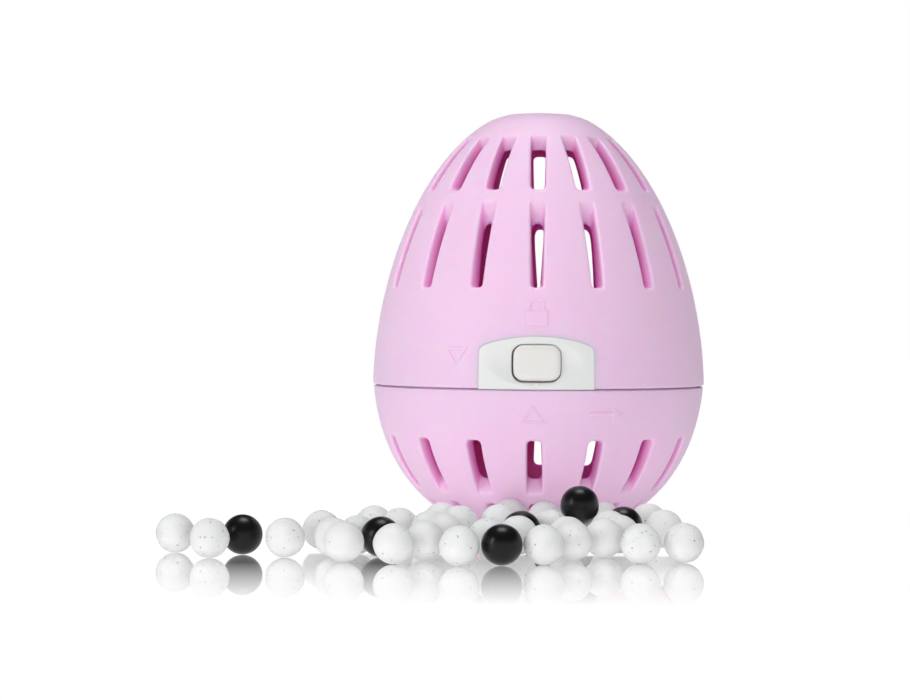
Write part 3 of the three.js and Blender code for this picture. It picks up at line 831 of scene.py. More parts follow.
def softened(bm, offset=SOFT_EDGE):
    """Rounds the sharp edges."""
    bm.normal_update()
    sharp = [edge for edge in bm.edges if edge.calc_face_angle(0) > math.radians(SHARP_ANGLE)]
    bmesh.ops.bevel(
        bm, geom=sharp, offset=offset, segments=2, profile=0.5, affect="EDGES", clamp_overlap=True,
        material=-1,
    )
    return bm


def quadratic(start, bend, end, steps):
    start, bend, end = Vector(start), Vector(bend), Vector(end)
    return bezier(start, start.lerp(bend, 2 / 3), end.lerp(bend, 2 / 3), end, steps)


def panel_outline(grow, foot):
    """The panel's outline as [x, z] points, run round from the lower left."""
    half = PANEL_W / 2 + grow
    shoulder = half - PANEL_SHOULDER_W
    shoulder_top = LID_RIM + PANEL_SHOULDER_H + grow
    crest = LID_RIM + PANEL_H + grow
    bend = (half, shoulder_top - PANEL_SHOULDER_W / 4)
    right_end, left_end = (shoulder, shoulder_top), (-shoulder, shoulder_top)
    right = quadratic((half, LID_RIM + PANEL_SIDE_H), bend, right_end, SHOULDER_STEPS)
    top = quadratic(right_end, (0, 2 * crest - shoulder_top), left_end, CREST_STEPS)
    left = [Vector((-place.x, place.y)) for place in reversed(right)]
    return [Vector((-half, foot)), Vector((half, foot)), *right, *top[1:-1], *left]


def button_loop(grow):
    """The button's outline, a rounded rectangle with bowed sides, as a loop of edges seen from the front."""
    half_w = BUTTON_W / 2 + grow
    half_h = BUTTON_H / 2 + grow
    bm = flat_face([(-half_w, -half_h), (half_w, -half_h), (half_w, half_h), (-half_w, half_h)])
    round_corners(bm, bm.verts[:], BUTTON_CORNER + grow, BUTTON_CORNER_STEPS)
    bmesh.ops.delete(bm, geom=bm.faces[:], context="FACES_ONLY")
    straight = sorted(bm.edges, key=lambda edge: edge.calc_length())[-4:]
    for edge in straight:
        cuts = 2 * round((BUTTON_W if abs(edge.verts[0].co.z) == half_h else BUTTON_H) / BUTTON_STEP / 2)
        bmesh.ops.subdivide_edges(bm, edges=[edge], cuts=cuts)
    for vert in bm.verts:
        x, z = vert.co.x, vert.co.z
        vert.co.x += BUTTON_BOW * (x / half_w) ** 3 * (1 - (z / half_h) ** 2)
        vert.co.z += BUTTON_BOW * (z / half_h) ** 3 * (1 - (x / half_w) ** 2) + BUTTON_Z
    return bm


def on_outline(outline, centre, direction):
    """The place where a ray from the centre meets an outline."""
    far = centre + direction * SEAM_R
    for start, end in zip(outline, outline[1:] + outline[:1]):
        hit = intersect_line_line_2d(centre, far, start, end)
        if hit:
            return hit
    raise ValueError("the outline is open")


def dish_depth(x, z):
    across = 2 * x / DISH_W
    up = 2 * (z - BUTTON_Z) / DISH_H
    return DISH_DEPTH * max(1 - across ** 2 - up ** 2, 0)


def lock_panel():
    """Rings of faces run from the window's back to its front, over the dish and the lip, and back again."""
    bm = button_loop(WINDOW_FIT)
    centre = Vector((0, BUTTON_Z))
    layers = bm.verts.layers.float_vector
    names = ("window", "dish", "edge", "lip")
    window, dish, edge, lip = [layers.new(name) for name in names]
    outlines = {edge: panel_outline(0, LID_RIM - PANEL_DROP), lip: panel_outline(LIP_REACH, LID_RIM + SEAT)}
    for vert in bm.verts:
        place = vert.co.xz
        way = (place - centre).normalized()
        reach = 1 / math.hypot(2 * way.x / DISH_W, 2 * way.y / DISH_H)
        vert[window] = place.to_3d()
        vert[dish] = (centre + way * reach).to_3d()
        for layer, outline in outlines.items():
            vert[layer] = on_outline(outline, centre, way).to_3d()
    for layer, outline in outlines.items():
        for corner in outline[:2]:
            nearest = min(bm.verts, key=lambda vert: (vert[layer].xy - corner).length)
            nearest[layer] = corner.to_3d()

    def set_places(verts, start, end, share, depth_of, outwards=0):
        for vert in verts:
            place = vert[start].lerp(vert[end], share).xy
            place += (place - centre).normalized() * outwards
            vert.co = (place.x, depth_of(*place) - LID_SKIN.front(*place), place.y)

    def ring(loop, *placing):
        verts, loop = loop_extruded(bm, loop)
        set_places(verts, *placing)
        return loop

    def even(depth):
        return lambda x, z: depth

    set_places(bm.verts, window, window, 0, even(LIP_INNER))
    loop = bm.edges[:]
    for step in range(WINDOW_STEPS + 1):
        lean = RIGHT_ANGLE * step / WINDOW_STEPS
        below = WINDOW_ROUND * (1 - math.sin(lean))
        outwards = WINDOW_ROUND * (1 - math.cos(lean))
        loop = ring(loop, window, window, 0, lambda x, z: dish_depth(x, z) + below, outwards)
    for step in range(1, DISH_RINGS + 1):
        share = step / DISH_RINGS
        loop = ring(loop, window, dish, share, dish_depth, WINDOW_ROUND * (1 - share))
    for step in range(1, PANEL_RINGS + 1):
        loop = ring(loop, dish, edge, step / PANEL_RINGS, dish_depth, -PANEL_EDGE * step / PANEL_RINGS)
    for layer, depth in ((edge, PANEL_EDGE), (edge, LIP_OUTER), (lip, LIP_OUTER), (lip, LIP_INNER)):
        loop = ring(loop, layer, layer, 0, even(depth))
    for step in range(1, PANEL_RINGS + 1):
        loop = ring(loop, lip, window, step / PANEL_RINGS, even(LIP_INNER))
    for name in names:
        layers.remove(layers[name])
    extras = spring_bracket()
    add_to(extras, gate_nub())
    panel = joined(closed(bm), extras)
    half_w = BUTTON_W / 2 + WINDOW_FIT + BUTTON_BOW
    half_h = BUTTON_H / 2 + WINDOW_FIT + BUTTON_BOW
    store_gap_shade(panel, half_w, half_h, (0, LID_SKIN.front(half_w, BUTTON_Z) - LIP_OUTER))
    return turn(panel, LID_TURN)


def gate_nub():
    """The small round scar where the plastic ran into the mould, low on the panel's front."""
    bm = bmesh.new()
    bmesh.ops.create_uvsphere(bm, u_segments=16, v_segments=8, radius=GATE_R)
    bmesh.ops.scale(bm, verts=bm.verts, vec=(1, GATE_RISE / GATE_R, 1))
    height = LID_RIM + GATE_HEIGHT
    return moved(bm, (0, -LID_SKIN.radius(height), height))


def store_gap_shade(bm, half_w, half_h, fronts):
    """Stores 1 on the walls of the gap round the button, where the material paints the shade that the pink
    inside the egg casts.
    """
    layer = bm.verts.layers.float.new("depth")
    back, front = fronts
    for vert in bm.verts:
        across, forward, up = vert.co.x, -vert.co.y, vert.co.z - BUTTON_Z
        vert[layer] = abs(across) < half_w + WELD and abs(up) < half_h + WELD and back < forward < front


def spring_bracket():
    near = FLANGE_HALF_W + BUTTON_BOW + FIT
    far = near + BRACKET_T
    root = math.sqrt((LIP_R + LIP_T / 2) ** 2 - far ** 2)
    back = BRIDGE_FRONT - BRACKET_T
    low = BUTTON_Z - BRACKET_H / 2
    corners = [
        (-far, root), (-far, back), (far, back), (far, root),
        (near, root), (near, BRIDGE_FRONT), (-near, BRIDGE_FRONT), (-near, root),
    ]
    return softened(block([(x, -depth, low) for x, depth in corners], UP * BRACKET_H))


def release_button():
    """Rings of faces run from the flange's back over its rim and up the cap to the crowned face's middle."""
    bm = button_loop(0)
    centre = Vector((0, BUTTON_Z))
    home = bm.verts.layers.float_vector.new("home")
    for vert in bm.verts:
        vert[home] = vert.co

    def set_places(verts, grow, scale, front):
        for vert in verts:
            way = vert[home].xz - centre
            place = centre + way * scale + way.normalized() * grow
            vert.co = (place.x, -front, place.y)

    def ring(loop, *placing):
        verts, loop = loop_extruded(bm, loop)
        set_places(verts, *placing)
        return loop

    def face_front(scale):
        return BUTTON_FRONT - BUTTON_EDGE_DROP * scale ** BUTTON_EDGE_POWER - BUTTON_CROWN * scale ** 2

    set_places(bm.verts, FLANGE_REACH, 1, BUTTON_ROOT)
    back = bm.edges[:]
    loop = ring(back, FLANGE_REACH, 1, BUTTON_FLANGE)
    loop = ring(loop, 0, 1, BUTTON_FLANGE)
    loop = ring(loop, 0, 1, face_front(1))
    for scale in BUTTON_RINGS:
        loop = ring(loop, 0, scale, face_front(scale))
    bmesh.ops.contextual_create(bm, geom=loop)
    bmesh.ops.contextual_create(bm, geom=back)
    bm.verts.layers.float_vector.remove(home)
    button = joined(closed(bm), catch())
    fronts = (BUTTON_FLANGE - WELD, face_front(1) - WELD)
    store_gap_shade(button, BUTTON_W / 2 + BUTTON_BOW, BUTTON_H / 2 + BUTTON_BOW, fronts)
    return turn(moved(button, BUTTON_SHIFT), LID_TURN)


def catch():
    """The arm that goes back from the flange, and the finger and tooth that hold the ring."""
    front = RING_INNER - FIT
    back = front - CATCH_T
    arm_bottom = BUTTON_Z - FLANGE_HALF_H + FIT
    arm_top = arm_bottom + CATCH_T
    tip = front + CATCH_TOOTH
    arm_end = BUTTON_FLANGE - FLANGE_T / 2
    corners = [
        (arm_end, arm_bottom), (arm_end, arm_top), (back, arm_top), (back, TOOTH_BOTTOM),
        (tip, TOOTH_BOTTOM), (tip, TOOTH_TOP), (front, TOOTH_TOP), (front, arm_bottom),
    ]
    return softened(block([(-CATCH_W / 2, -depth, height) for depth, height in corners], RIGHT * CATCH_W))


def leaf_spring():
    rise = SPRING_BOW - SPRING_T
    half = SPRING_SPAN / 2
    bow_r = (half ** 2 + rise ** 2) / (2 * rise)
    sweep = math.degrees(2 * math.asin(half / bow_r))
    low = BUTTON_Z - SPRING_W / 2
    outer = bow_r + SPRING_T
    bm = sector_block(0, sweep, bow_r, outer, low, low + SPRING_W)
    return turn(softened(moved(bm, (0, outer - SPRING_FRONT, 0)), SPRING_EDGE), LID_TURN)


def lock_ring():
    collar = LID_INNER.radius(RING_TOP) - FIT
    collar_inner = collar - RING_WALL
    ring = turned_ring([
        (RING_INNER, RING_BOTTOM), (RING_OUTER, RING_BOTTOM), (RING_OUTER, WEB_BOTTOM), (collar, WEB_BOTTOM),
        (collar, RING_TOP), (collar_inner, RING_TOP), (collar_inner, WEB_TOP), (RING_INNER, WEB_TOP),
    ])
    lugs = sector_blocks(LUG_ANGLES, LUG_SPAN, RING_OUTER - ROOT, LUG_R, RING_BOTTOM, LUG_TOP)
    inside = RING_INNER - WALL
    lip_angle = math.degrees(math.asin((PANEL_W / 2 + LIP_REACH) / LIP_R) + FIT / LIP_R)
    bay = sector_block(0, 2 * lip_angle, inside, SEAM_R, WEB_BOTTOM - SEAT, RING_TOP + WALL)
    half = CATCH_W / 2 + FIT
    low = TOOTH_BOTTOM - FIT
    recess = [(-half, low), (half, low), (half, WEB_TOP), (-half, WEB_TOP)]
    recess = front_block(recess, inside, RING_INNER + CATCH_TOOTH)
    return turn(softened(cut(cut(joined(ring, lugs), bay), recess)), LID_TURN)


def lid_shell():
    pole = LID_SKIN.between(LID_ROWS[-1], LID_TOP - POLE_DROP, POLE_STEPS)
    shell = vented_solid(LID_SKIN, LID_VENTS, LID_ROWS, pole)
    shell = cut(shell, hollow(LID_SKIN, LID_THICKENS, LID_TOP - VENT_WALL))
    shell = cut(shell, front_block(panel_outline(PANEL_LINE, LID_RIM - WALL), SEAM_R / 2, SEAM_R + WALL))
    rib_bottom = RING_TOP + SEAT
    wall = LID_INNER.radius(rib_bottom)
    extras = softened(sector_blocks(
        RIB_ANGLES, RIB_SPAN, wall - RIB_REACH, wall + ROOT, rib_bottom, rib_bottom + RIB_T
    ))
    add_to(extras, laid_on(padlock_mark(), LID_SKIN, 0))
    add_to(extras, laid_on(triangle_mark(OPEN_MARK_TOP, -TRIANGLE_H), LID_SKIN, OPEN_MARK_ANGLE))
    shell = joined(shell, extras)
    store_shade_depth(shell, LID_SKIN)
    return turn(shell, LID_TURN)


BASE_RING_R = 16.5
BASE_RECESS = 0.5
SEAM_LIP_IN = 1.6
SEAM_LIP_H = 0.25


def cup_shell():
    base = [(BASE_FLAT_R, 0), (BASE_RING_R, 0), (BASE_RING_R - BASE_RECESS, BASE_RECESS)]
    shell = vented_solid(CUP_SKIN, CUP_VENTS, CUP_ROWS, base)
    shell = cut(shell, hollow(CUP_SKIN, CUP_THICKENS, VENT_WALL))
    seat_wall = CUP_INNER.radius(RING_SEAT)
    seat_edge = RING_INNER - SEAT_REACH
    extras = turned_ring([
        (seat_edge, RING_SEAT - SEAT_T / 2), (seat_wall, RING_SEAT - SEAT_T), (seat_wall + ROOT, RING_SEAT),
        (seat_edge, RING_SEAT),
    ])
    lip_outer = SEAM_R - CUP_STEP - SEAM_LIP_IN
    lip_foot = CUP_RIM - ROOT
    lip_inner = CUP_INNER.radius(lip_foot) + SEAM_LIP_H
    lip_top = CUP_RIM + SEAM_LIP_H
    add_to(extras, turned_ring([
        (lip_inner, lip_foot), (lip_outer, lip_foot), (lip_outer, lip_top), (lip_inner, lip_top),
    ]))
    hook_bottom = LUG_TOP + FIT
    hook_wall = CUP_INNER.radius(hook_bottom)
    hook_angles = [angle - CUP_TURN for angle in LUG_ANGLES]
    add_to(extras, softened(sector_blocks(
        hook_angles, LUG_SPAN, HOOK_R, hook_wall + ROOT, hook_bottom, hook_bottom + LUG_T
    )))
    add_to(extras, laid_on(triangle_mark(LINE_UP_FOOT, TRIANGLE_H), CUP_SKIN, LINE_UP_ANGLE))
    add_to(extras, laid_on(arrow_mark(), CUP_SKIN, ARROW_ANGLE))
    shell = joined(shell, extras)
    store_shade_depth(shell, CUP_SKIN)
    return turn(shell, CUP_TURN)


# Pellets. Lumps, flats and dents only take material away, so that a pellet stays inside its ball.
PELLET_R = 4.95
PELLET_DETAIL = 4
WHITE_LUMP = 0.28
WHITE_FLATS = 5
WHITE_DENTS = 6
BLACK_LUMP = 0.06
LUMP_SCALE = 1.6
LUMP_SHIFT = 40
FLAT_FACING = 0.5
FLAT_SHARE = (0.965, 0.99)
DENT_SPREAD = (0.09, 0.2)
DENT_DEPTH = (0.08, 0.22)
dice = random.Random(11)


def random_way():
    while True:
        way = Vector((dice.uniform(-1, 1), dice.uniform(-1, 1), dice.uniform(-1, 1)))
        if 0.1 < way.length < 1:
            return way.normalized()


def pellet(node, lump, flats, dents):
    low, high = box_mm(node)
    middle = (low + high) / 2
    bm = bmesh.new()
    bmesh.ops.create_icosphere(bm, subdivisions=PELLET_DETAIL, radius=PELLET_R)
    shift = random_way() * LUMP_SHIFT
    flat_sides = [(random_way(), PELLET_R * dice.uniform(*FLAT_SHARE)) for _ in range(flats)]
    dent_places = [
        (random_way(), dice.uniform(*DENT_SPREAD), dice.uniform(*DENT_DEPTH)) for _ in range(dents)
    ]
    for vert in bm.verts:
        way = vert.co.normalized()
        radius = PELLET_R - lump * (0.5 + 0.5 * noise.noise(way * LUMP_SCALE + shift))
        for side, reach in flat_sides:
            facing = way.dot(side)
            if facing > FLAT_FACING:
                radius = min(radius, reach / facing)
        for place, spread, depth in dent_places:
            share = (way - place).length / spread
            if share < 1:
                radius -= depth * (1 - share ** 2) ** 2
        vert.co = way * radius
    lowest = min(vert.co.z for vert in bm.verts)
    return moved(bm, middle - UP * (lowest + PELLET_R))


# Materials


def put(tree, kind, inputs=None, **settings):
    """Adds a node. Each input is a value or the socket that feeds it."""
    node = tree.nodes.new(kind)
    for name, value in settings.items():
        setattr(node, name, value)
    for name, value in (inputs or {}).items():
        if isinstance(value, bpy.types.NodeSocket):
            tree.links.new(value, node.inputs[name])
        else:
            node.inputs[name].default_value = value
    return node


def cleared(owner):
    """Gives a material or the world an empty node tree."""
    owner.use_nodes = True
    owner.node_tree.nodes.clear()
    return owner.node_tree


def maths(tree, operation, first, second):
    return put(tree, "ShaderNodeMath", {0: first, 1: second}, operation=operation).outputs[0]


def vector_maths(tree, operation, first, second=(0, 0, 0)):
    return put(tree, "ShaderNodeVectorMath", {0: first, 1: second}, operation=operation).outputs


def clouded(tree, place, scale, detail):
    """A cloudy pattern, with its value and its colour."""
    return put(tree, "ShaderNodeTexNoise", {"Vector": place, "Scale": scale, "Detail": detail}).outputs


def mixed(tree, share, first, second):
    """A colour between two colours."""
    return put(tree, "ShaderNodeMix", {0: share, 6: first, 7: second}, data_type="RGBA").outputs[2]


def ranged(tree, value, low, high, to_low, to_high, smooth=False):
    """A value moved from one range to another."""
    inputs = {"Value": value, "From Min": low, "From Max": high, "To Min": to_low, "To Max": to_high}
    interpolation = "SMOOTHSTEP" if smooth else "LINEAR"
    return put(tree, "ShaderNodeMapRange", inputs, interpolation_type=interpolation).outputs["Result"]


def colour(red, green, blue):
    return (red, green, blue, 1)


def new_group(name, inputs, outputs):
    group = bpy.data.node_groups.new(name, "ShaderNodeTree")
    for label, value in inputs.items():
        socket = group.interface.new_socket(label, in_out="INPUT", socket_type="NodeSocketFloat")
        socket.default_value = value
    for label in outputs:
        group.interface.new_socket(label, in_out="OUTPUT", socket_type="NodeSocketFloat")
    return group, group.nodes.new("NodeGroupInput").outputs, group.nodes.new("NodeGroupOutput").inputs


def moulded_grain():
    """Fine spark-eroded grain of a mould, and the slow drift of a moulded surface."""
    group, given, result = new_group("moulded_grain", {"Grain": 4200, "Drift": 45}, ["Height", "Drift"])
    place = put(group, "ShaderNodeTexCoord").outputs["Object"]
    for scale, detail, name in (("Grain", 3, "Height"), ("Drift", 1.5, "Drift")):
        group.links.new(clouded(group, place, given[scale], detail)["Fac"], result[name])
    return group


# Pits of a mineral ball: how far their outlines are bent, where they are likely, and how soft and deep
PIT_BEND = 0.0009
PIT_PATCH = (0.45, 0.65)
PATCH_GAIN = 0.5
PIT_CHANCE = (0.8, 1.05)
PIT_EDGE = 0.14
PIT_RELIEF = -2.2


def mineral_skin():
    """Grain of a fired mineral ball, with pits in loose patches and soft clouds."""
    group, given, result = new_group(
        "mineral_skin", {"Grain": 1500, "Pits": 950, "Pit Size": 0.26}, ["Height", "Pits", "Clouds"]
    )
    place = put(group, "ShaderNodeTexCoord").outputs["Object"]
    grain = clouded(group, place, scale=given["Grain"], detail=5)["Fac"]
    warp = clouded(group, place, scale=900, detail=2)["Color"]
    bent = put(group, "ShaderNodeMix", {0: PIT_BEND, 4: place, 5: warp}, data_type="VECTOR").outputs[1]
    cells = put(group, "ShaderNodeTexVoronoi", {"Vector": bent, "Scale": given["Pits"]}).outputs
    chance = put(group, "ShaderNodeSeparateColor", {"Color": cells["Color"]}).outputs["Red"]
    patches = clouded(group, place, scale=330, detail=1)["Fac"]
    likely = ranged(group, patches, *PIT_PATCH, 0, PATCH_GAIN)
    chosen = ranged(group, maths(group, "ADD", chance, likely), *PIT_CHANCE, 0, 1)
    size = maths(group, "MULTIPLY", given["Pit Size"], chosen)
    inside = maths(group, "SUBTRACT", size, cells["Distance"])
    pits = ranged(group, inside, 0, PIT_EDGE, 0, 1, smooth=True)
    relief = maths(group, "MULTIPLY", pits, PIT_RELIEF)
    group.links.new(maths(group, "ADD", grain, relief), result["Height"])
    group.links.new(pits, result["Pits"])
    group.links.new(clouded(group, place, scale=260, detail=2)["Fac"], result["Clouds"])
    return group


MOULDED_GRAIN = moulded_grain()
MINERAL_SKIN = mineral_skin()

PINK = colour(0.855, 0.6, 0.8)
PINK_SHADE = colour(0.835, 0.58, 0.78)
# Painted shade: deeper pinks for the vents' walls and the inner faces, and a dark pink for the gap round the
# button
VENT_SHADE_PINK = colour(0.86, 0.17, 0.58)
INNER_SHADE_PINK = colour(0.84, 0.16, 0.55)
GAP_SHADE = colour(0.6, 0.25, 0.26)
# Depths, as shares of the wall, between which painted shade deepens down a vent's wall and on the inside
VENT_SHADE_DEPTHS = (0.05, 0.85)
INNER_SHADE_DEPTHS = (0.85, 1)
# The range of a cloudy pattern's values, and each bump's strength and height in metres
CLOUD_RANGE = (0.3, 0.7)
MOULDED_BUMP = (0.12, 0.00004)
MINERAL_RELIEF = 0.0001
SCATTER_SIZE = 0.004
PINK_FINISH = {
    "Specular IOR Level": 0.2, "Subsurface Weight": 0.6, "Subsurface Radius": (1, 0.2, 0.6),
    "Subsurface Scale": SCATTER_SIZE,
}
CHALKY_FINISH = {
    "Specular IOR Level": 0.2, "Subsurface Weight": 0.5, "Subsurface Radius": (1, 1, 1),
    "Subsurface Scale": SCATTER_SIZE,
}
SATIN_FINISH = {"Specular IOR Level": 0.25}
MATERIALS = {}


def bumped(tree, height, strength, distance):
    inputs = {"Height": height, "Strength": strength, "Distance": distance}
    return put(tree, "ShaderNodeBump", inputs).outputs["Normal"]


def new_material(name):
    """Adds a material and gives back its empty node tree."""
    MATERIALS[name] = bpy.data.materials.new(name)
    return cleared(MATERIALS[name])


def end_in_shader(tree, inputs):
    shader = put(tree, "ShaderNodeBsdfPrincipled", inputs)
    put(tree, "ShaderNodeOutputMaterial", {"Surface": shader.outputs[0]})


def gap_shade_colour(tree, depth, outside):
    """White plastic whose gap round the button is painted with shade tinted by the pink inside the egg."""
    return mixed(tree, depth, outside, GAP_SHADE)


def vent_shade_colour(tree, depth, outside):
    """Pink plastic with painted shade: deeper pink down a vent's wall and on the inner faces, lit only
    through the vents.
    """
    vent_shade = mixed(tree, ranged(tree, depth, *VENT_SHADE_DEPTHS, 0, 1), outside, VENT_SHADE_PINK)
    inside = ranged(tree, depth, *INNER_SHADE_DEPTHS, 0, 1, smooth=True)
    return mixed(tree, inside, vent_shade, INNER_SHADE_PINK)


def moulded_plastic(name, light, dark, roughness, grain, painted_shade=gap_shade_colour, finish=None):
    """A matte moulded plastic. Its colour and gloss drift a little over the surface."""
    tree = new_material(name)
    skin = put(tree, "ShaderNodeGroup", {"Grain": grain}, node_tree=MOULDED_GRAIN).outputs
    outside = mixed(tree, ranged(tree, skin["Drift"], *CLOUD_RANGE, 0, 1), dark, light)
    depth = put(tree, "ShaderNodeAttribute", attribute_name="depth").outputs["Fac"]
    end_in_shader(tree, {
        # The base colour carries painted shade in the vents, the inside and the button's gap, read from the
        # stored depth
        "Base Color": painted_shade(tree, depth, outside),
        "Roughness": ranged(tree, skin["Drift"], *CLOUD_RANGE, *roughness),
        "Normal": bumped(tree, skin["Height"], *MOULDED_BUMP),
        **(finish or {}),
    })


def mineral(name, light, dark, pit_colour, roughness, bump, finish):
    """A fired mineral with soft clouds and pits."""
    tree = new_material(name)
    skin = put(tree, "ShaderNodeGroup", node_tree=MINERAL_SKIN).outputs
    base = mixed(tree, ranged(tree, skin["Clouds"], *CLOUD_RANGE, 0, 1), dark, light)
    end_in_shader(tree, {
        "Base Color": mixed(tree, skin["Pits"], base, pit_colour),
        "Roughness": ranged(tree, skin["Clouds"], *CLOUD_RANGE, *roughness),
        "Normal": bumped(tree, skin["Height"], bump, MINERAL_RELIEF),
        **finish,
    })


moulded_plastic("pink_plastic", PINK, PINK_SHADE, (0.42, 0.5), 4200, vent_shade_colour, PINK_FINISH)
moulded_plastic("white_plastic", colour(0.74, 0.75, 0.74), colour(0.72, 0.73, 0.72), (0.4, 0.48), 4200)
moulded_plastic("cream_plastic", colour(0.74, 0.73, 0.705), colour(0.72, 0.71, 0.685), (0.34, 0.42), 5200)
moulded_plastic("spring_plastic", colour(0.73, 0.73, 0.71), colour(0.69, 0.69, 0.66), (0.3, 0.4), 3000)
mineral(
    "mineral_white", colour(0.77, 0.77, 0.765), colour(0.73, 0.73, 0.725), colour(0.4, 0.39, 0.37),
    roughness=(0.8, 0.95), bump=0.7, finish=CHALKY_FINISH,
)
mineral(
    "mineral_black", colour(0.005, 0.005, 0.0055), colour(0.0035, 0.0035, 0.004),
    colour(0.008, 0.008, 0.0085), roughness=(0.28, 0.36), bump=0.08, finish=SATIN_FINISH,
)

# Pieces, each with its body, its finish and the node that it stands for


def place_piece(name, bm, body, slot, node):
    piece = new_piece(name, bm)
    piece.data.materials.append(MATERIALS[slot])
    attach(piece, body)
    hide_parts(node)
    return piece


place_piece("lid_shell", lid_shell(), "lid", "pink_plastic", "top_shell")
place_piece("cup_shell", cup_shell(), "cup", "pink_plastic", "bottom_shell")
place_piece("turning_ring", lock_ring(), "ring", "pink_plastic", "lock_ring")
place_piece("white_panel", lock_panel(), "lid", "white_plastic", "lock_panel")
place_piece("push_button", release_button(), "button", "cream_plastic", "release_button")
spring = place_piece("leaf_spring", leaf_spring(), "lid", "spring_plastic", "button_spring")
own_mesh(spring)
for node in sorted(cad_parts):
    if node.startswith("white_pellet"):
        bm = pellet(node, WHITE_LUMP, WHITE_FLATS, WHITE_DENTS)
        place_piece(f"ball_{node}", bm, "cup", "mineral_white", node)
    elif node.startswith("black_pellet"):
        place_piece(f"ball_{node}", pellet(node, BLACK_LUMP, 0, 0), "cup", "mineral_black", node)

# Floor and light
FLOOR_HALF = 2.5
FLOOR_DROP = 0.00005
WHITE = colour(1, 1, 1)
FLOOR_WHITE = colour(0.9, 0.9, 0.9)
FLOOR_GLOW = 1.01
FLOOR_SHADE = 0.24
SHADE_FADE = 0.06
FLOOR_LIT = 0.54
TABLE_GLOW = 0.3
GLOSS = 0.92
GLOSS_ROUGHNESS = 0.02
GLOSS_FADE = 0.092
GLOSS_BACK = (-0.104, -0.094)
GLOSS_SLANT = (0.65, 0.88)
GLOSS_MIDDLE = (-0.02, -0.04, 0)
GLOSS_HALF = (0.08, 0.084, 0)
WORLD_LIGHT = 0.25
CEILING = 0.06
WALL_TOP = (0.2, 0.4)


def seen_rays(tree, path, others):
    """1 for rays that see the white background: the camera's, those through glass and any others given."""
    direct = maths(tree, "MAXIMUM", path["Is Camera Ray"], path["Is Transmission Ray"])
    return maths(tree, "MAXIMUM", direct, others)


def floor_material():
    """A light table, seen as white with part of the shadows. Its front mirrors what stands near.

    Where nothing shades it, its glow and the lamps' light on it add up to white.
    """
    tree = new_material("studio_floor")
    path = put(tree, "ShaderNodeLightPath").outputs
    place = put(tree, "ShaderNodeTexCoord").outputs["Object"]

    # Distance from the patch of floor under the egg and the pellets
    offset = vector_maths(tree, "SUBTRACT", place, GLOSS_MIDDLE)[0]
    past = vector_maths(tree, "SUBTRACT", vector_maths(tree, "ABSOLUTE", offset)[0], GLOSS_HALF)[0]
    distance = vector_maths(tree, "LENGTH", vector_maths(tree, "MAXIMUM", past)[0])["Value"]

    # What is seen, and the light that the table gives the object
    matte = put(tree, "ShaderNodeBsdfDiffuse", {"Color": FLOOR_WHITE}).outputs[0]
    shade = ranged(tree, distance, 0, SHADE_FADE, FLOOR_SHADE, 0)
    strength = ranged(tree, distance, 0, SHADE_FADE, FLOOR_GLOW - FLOOR_SHADE * FLOOR_LIT, FLOOR_GLOW)
    glow = put(tree, "ShaderNodeEmission", {"Strength": strength}).outputs[0]
    shaded = put(tree, "ShaderNodeMixShader", {0: shade, 2: matte}).outputs[0]
    lit = put(tree, "ShaderNodeAddShader", {0: glow, 1: shaded}).outputs[0]
    strength = maths(tree, "MULTIPLY", path["Is Diffuse Ray"], TABLE_GLOW)
    table = put(tree, "ShaderNodeEmission", {"Strength": strength}).outputs[0]
    unseen = put(tree, "ShaderNodeAddShader", {0: matte, 1: table}).outputs[0]
    seen = seen_rays(tree, path, path["Is Glossy Ray"])
    base = put(tree, "ShaderNodeMixShader", {0: seen, 1: unseen, 2: lit}).outputs[0]

    # The mirror, at the front and at low angles only
    share = ranged(tree, distance, 0, GLOSS_FADE, GLOSS, 0)
    depth = put(tree, "ShaderNodeSeparateXYZ", {"Vector": place}).outputs["Y"]
    share = maths(tree, "MULTIPLY", share, ranged(tree, depth, *GLOSS_BACK, 1, 0, smooth=True))
    facing = put(tree, "ShaderNodeLayerWeight").outputs["Facing"]
    share = maths(tree, "MULTIPLY", share, ranged(tree, facing, *GLOSS_SLANT, 0, 1, smooth=True))
    mirror = put(tree, "ShaderNodeBsdfGlossy", {"Color": WHITE, "Roughness": GLOSS_ROUGHNESS}).outputs[0]
    surface = put(tree, "ShaderNodeMixShader", {0: share, 1: base, 2: mirror}).outputs[0]
    put(tree, "ShaderNodeOutputMaterial", {"Surface": surface})


def studio_floor():
    bm = bmesh.new()
    bmesh.ops.create_grid(bm, x_segments=1, y_segments=1, size=FLOOR_HALF / MM)
    floor = new_piece("studio_floor", moved(bm, (0, 0, -FLOOR_DROP / MM)))
    floor_material()
    floor.data.materials.append(MATERIALS["studio_floor"])


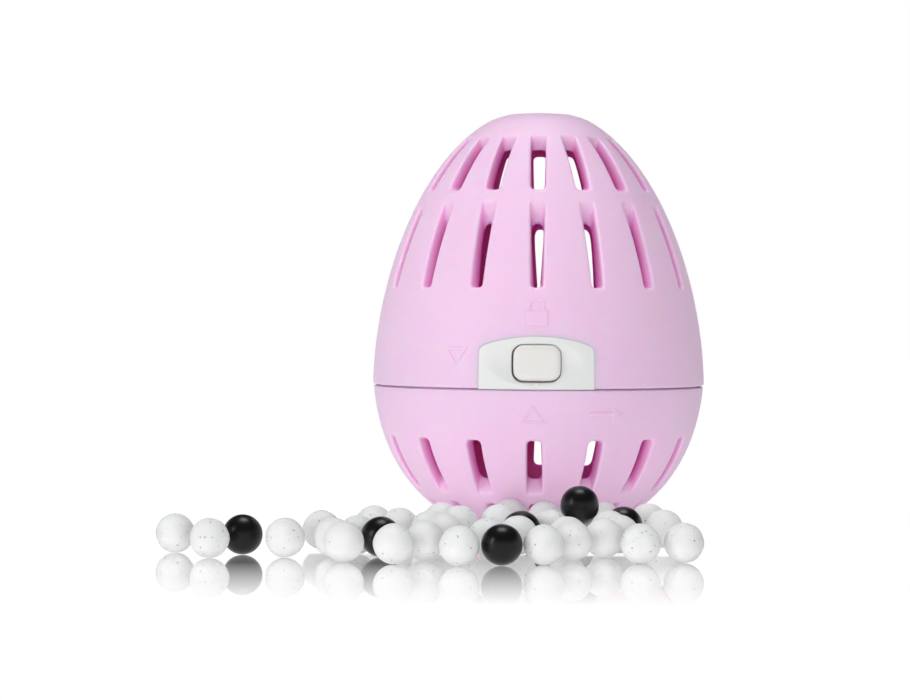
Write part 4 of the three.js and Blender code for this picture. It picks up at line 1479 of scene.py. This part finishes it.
def studio_world():
    """A soft light all round. The camera sees white, and shiny surfaces white walls under a dark ceiling."""
    world = bpy.data.worlds.new("studio")
    bpy.context.scene.world = world
    tree = cleared(world)
    path = put(tree, "ShaderNodeLightPath").outputs
    way = put(tree, "ShaderNodeTexCoord").outputs["Generated"]
    up = put(tree, "ShaderNodeSeparateXYZ", {"Vector": way}).outputs["Z"]
    room = ranged(tree, up, *WALL_TOP, 1, CEILING)
    strength = ranged(tree, path["Is Glossy Ray"], 0, 1, WORLD_LIGHT, room)
    strength = ranged(tree, seen_rays(tree, path, 0), 0, 1, strength, 1)
    sky = put(tree, "ShaderNodeBackground", {"Color": WHITE, "Strength": strength})
    put(tree, "ShaderNodeOutputWorld", {"Surface": sky.outputs[0]})


# Each lamp's place, size, power and colour, and whether it shows in glossy surfaces
LAMPS = {
    "left_softbox": ((-1.0, -0.75, 0.45), (0.07, 0.6), 3.4, (1, 1, 1), True),
    "low_front_fill": ((-0.1, -1.5, 0.15), (1.0, 0.25), 9.9, (1, 1, 1), False),
    "top_softbox": ((0, 0.1, 1.3), (0.6, 0.5), 7.8, (0.94, 0.97, 1), True),
}
LAMP_AIM = Vector((0, 0, 0.06))


def studio_lamps():
    for name, (place, size, power, tint, shows) in LAMPS.items():
        light = bpy.data.lights.new(name, "AREA")
        light.shape = "RECTANGLE"
        light.size, light.size_y = size
        light.energy = power
        light.color = tint
        lamp = new_object(name, light)
        lamp.location = place
        lamp.rotation_euler = (LAMP_AIM - Vector(place)).to_track_quat("-Z", "Y").to_euler()
        lamp.visible_camera = False
        lamp.visible_glossy = shows


# Camera: its place, and the pixels where the photograph's horizon and the egg's axis lie
IMAGE_W = 910
IMAGE_H = 700
FOCAL_PX = 2924
AXIS_PX = 538.4
HORIZON_PX = 299
CAMERA_PLACE = (0, -0.815, 0.0627)
CAMERA_ROLL = 0.3


def photo_camera():
    lens = bpy.data.cameras.new("photo_camera")
    lens.lens = FOCAL_PX * lens.sensor_width / IMAGE_W
    camera = new_object("photo_camera", lens)
    yaw = math.atan((AXIS_PX - IMAGE_W / 2) / FOCAL_PX)
    pitch = RIGHT_ANGLE - math.atan((IMAGE_H / 2 - HORIZON_PX) / FOCAL_PX)
    aim = Matrix.Rotation(yaw, 4, "Z") @ Matrix.Rotation(pitch, 4, "X")
    roll = Matrix.Rotation(math.radians(CAMERA_ROLL), 4, "Z")
    camera.matrix_world = Matrix.Translation(CAMERA_PLACE) @ aim @ roll
    bpy.context.scene.camera = camera


studio_floor()
studio_world()
studio_lamps()
photo_camera()
bpy.context.scene.view_settings.view_transform = "Standard"
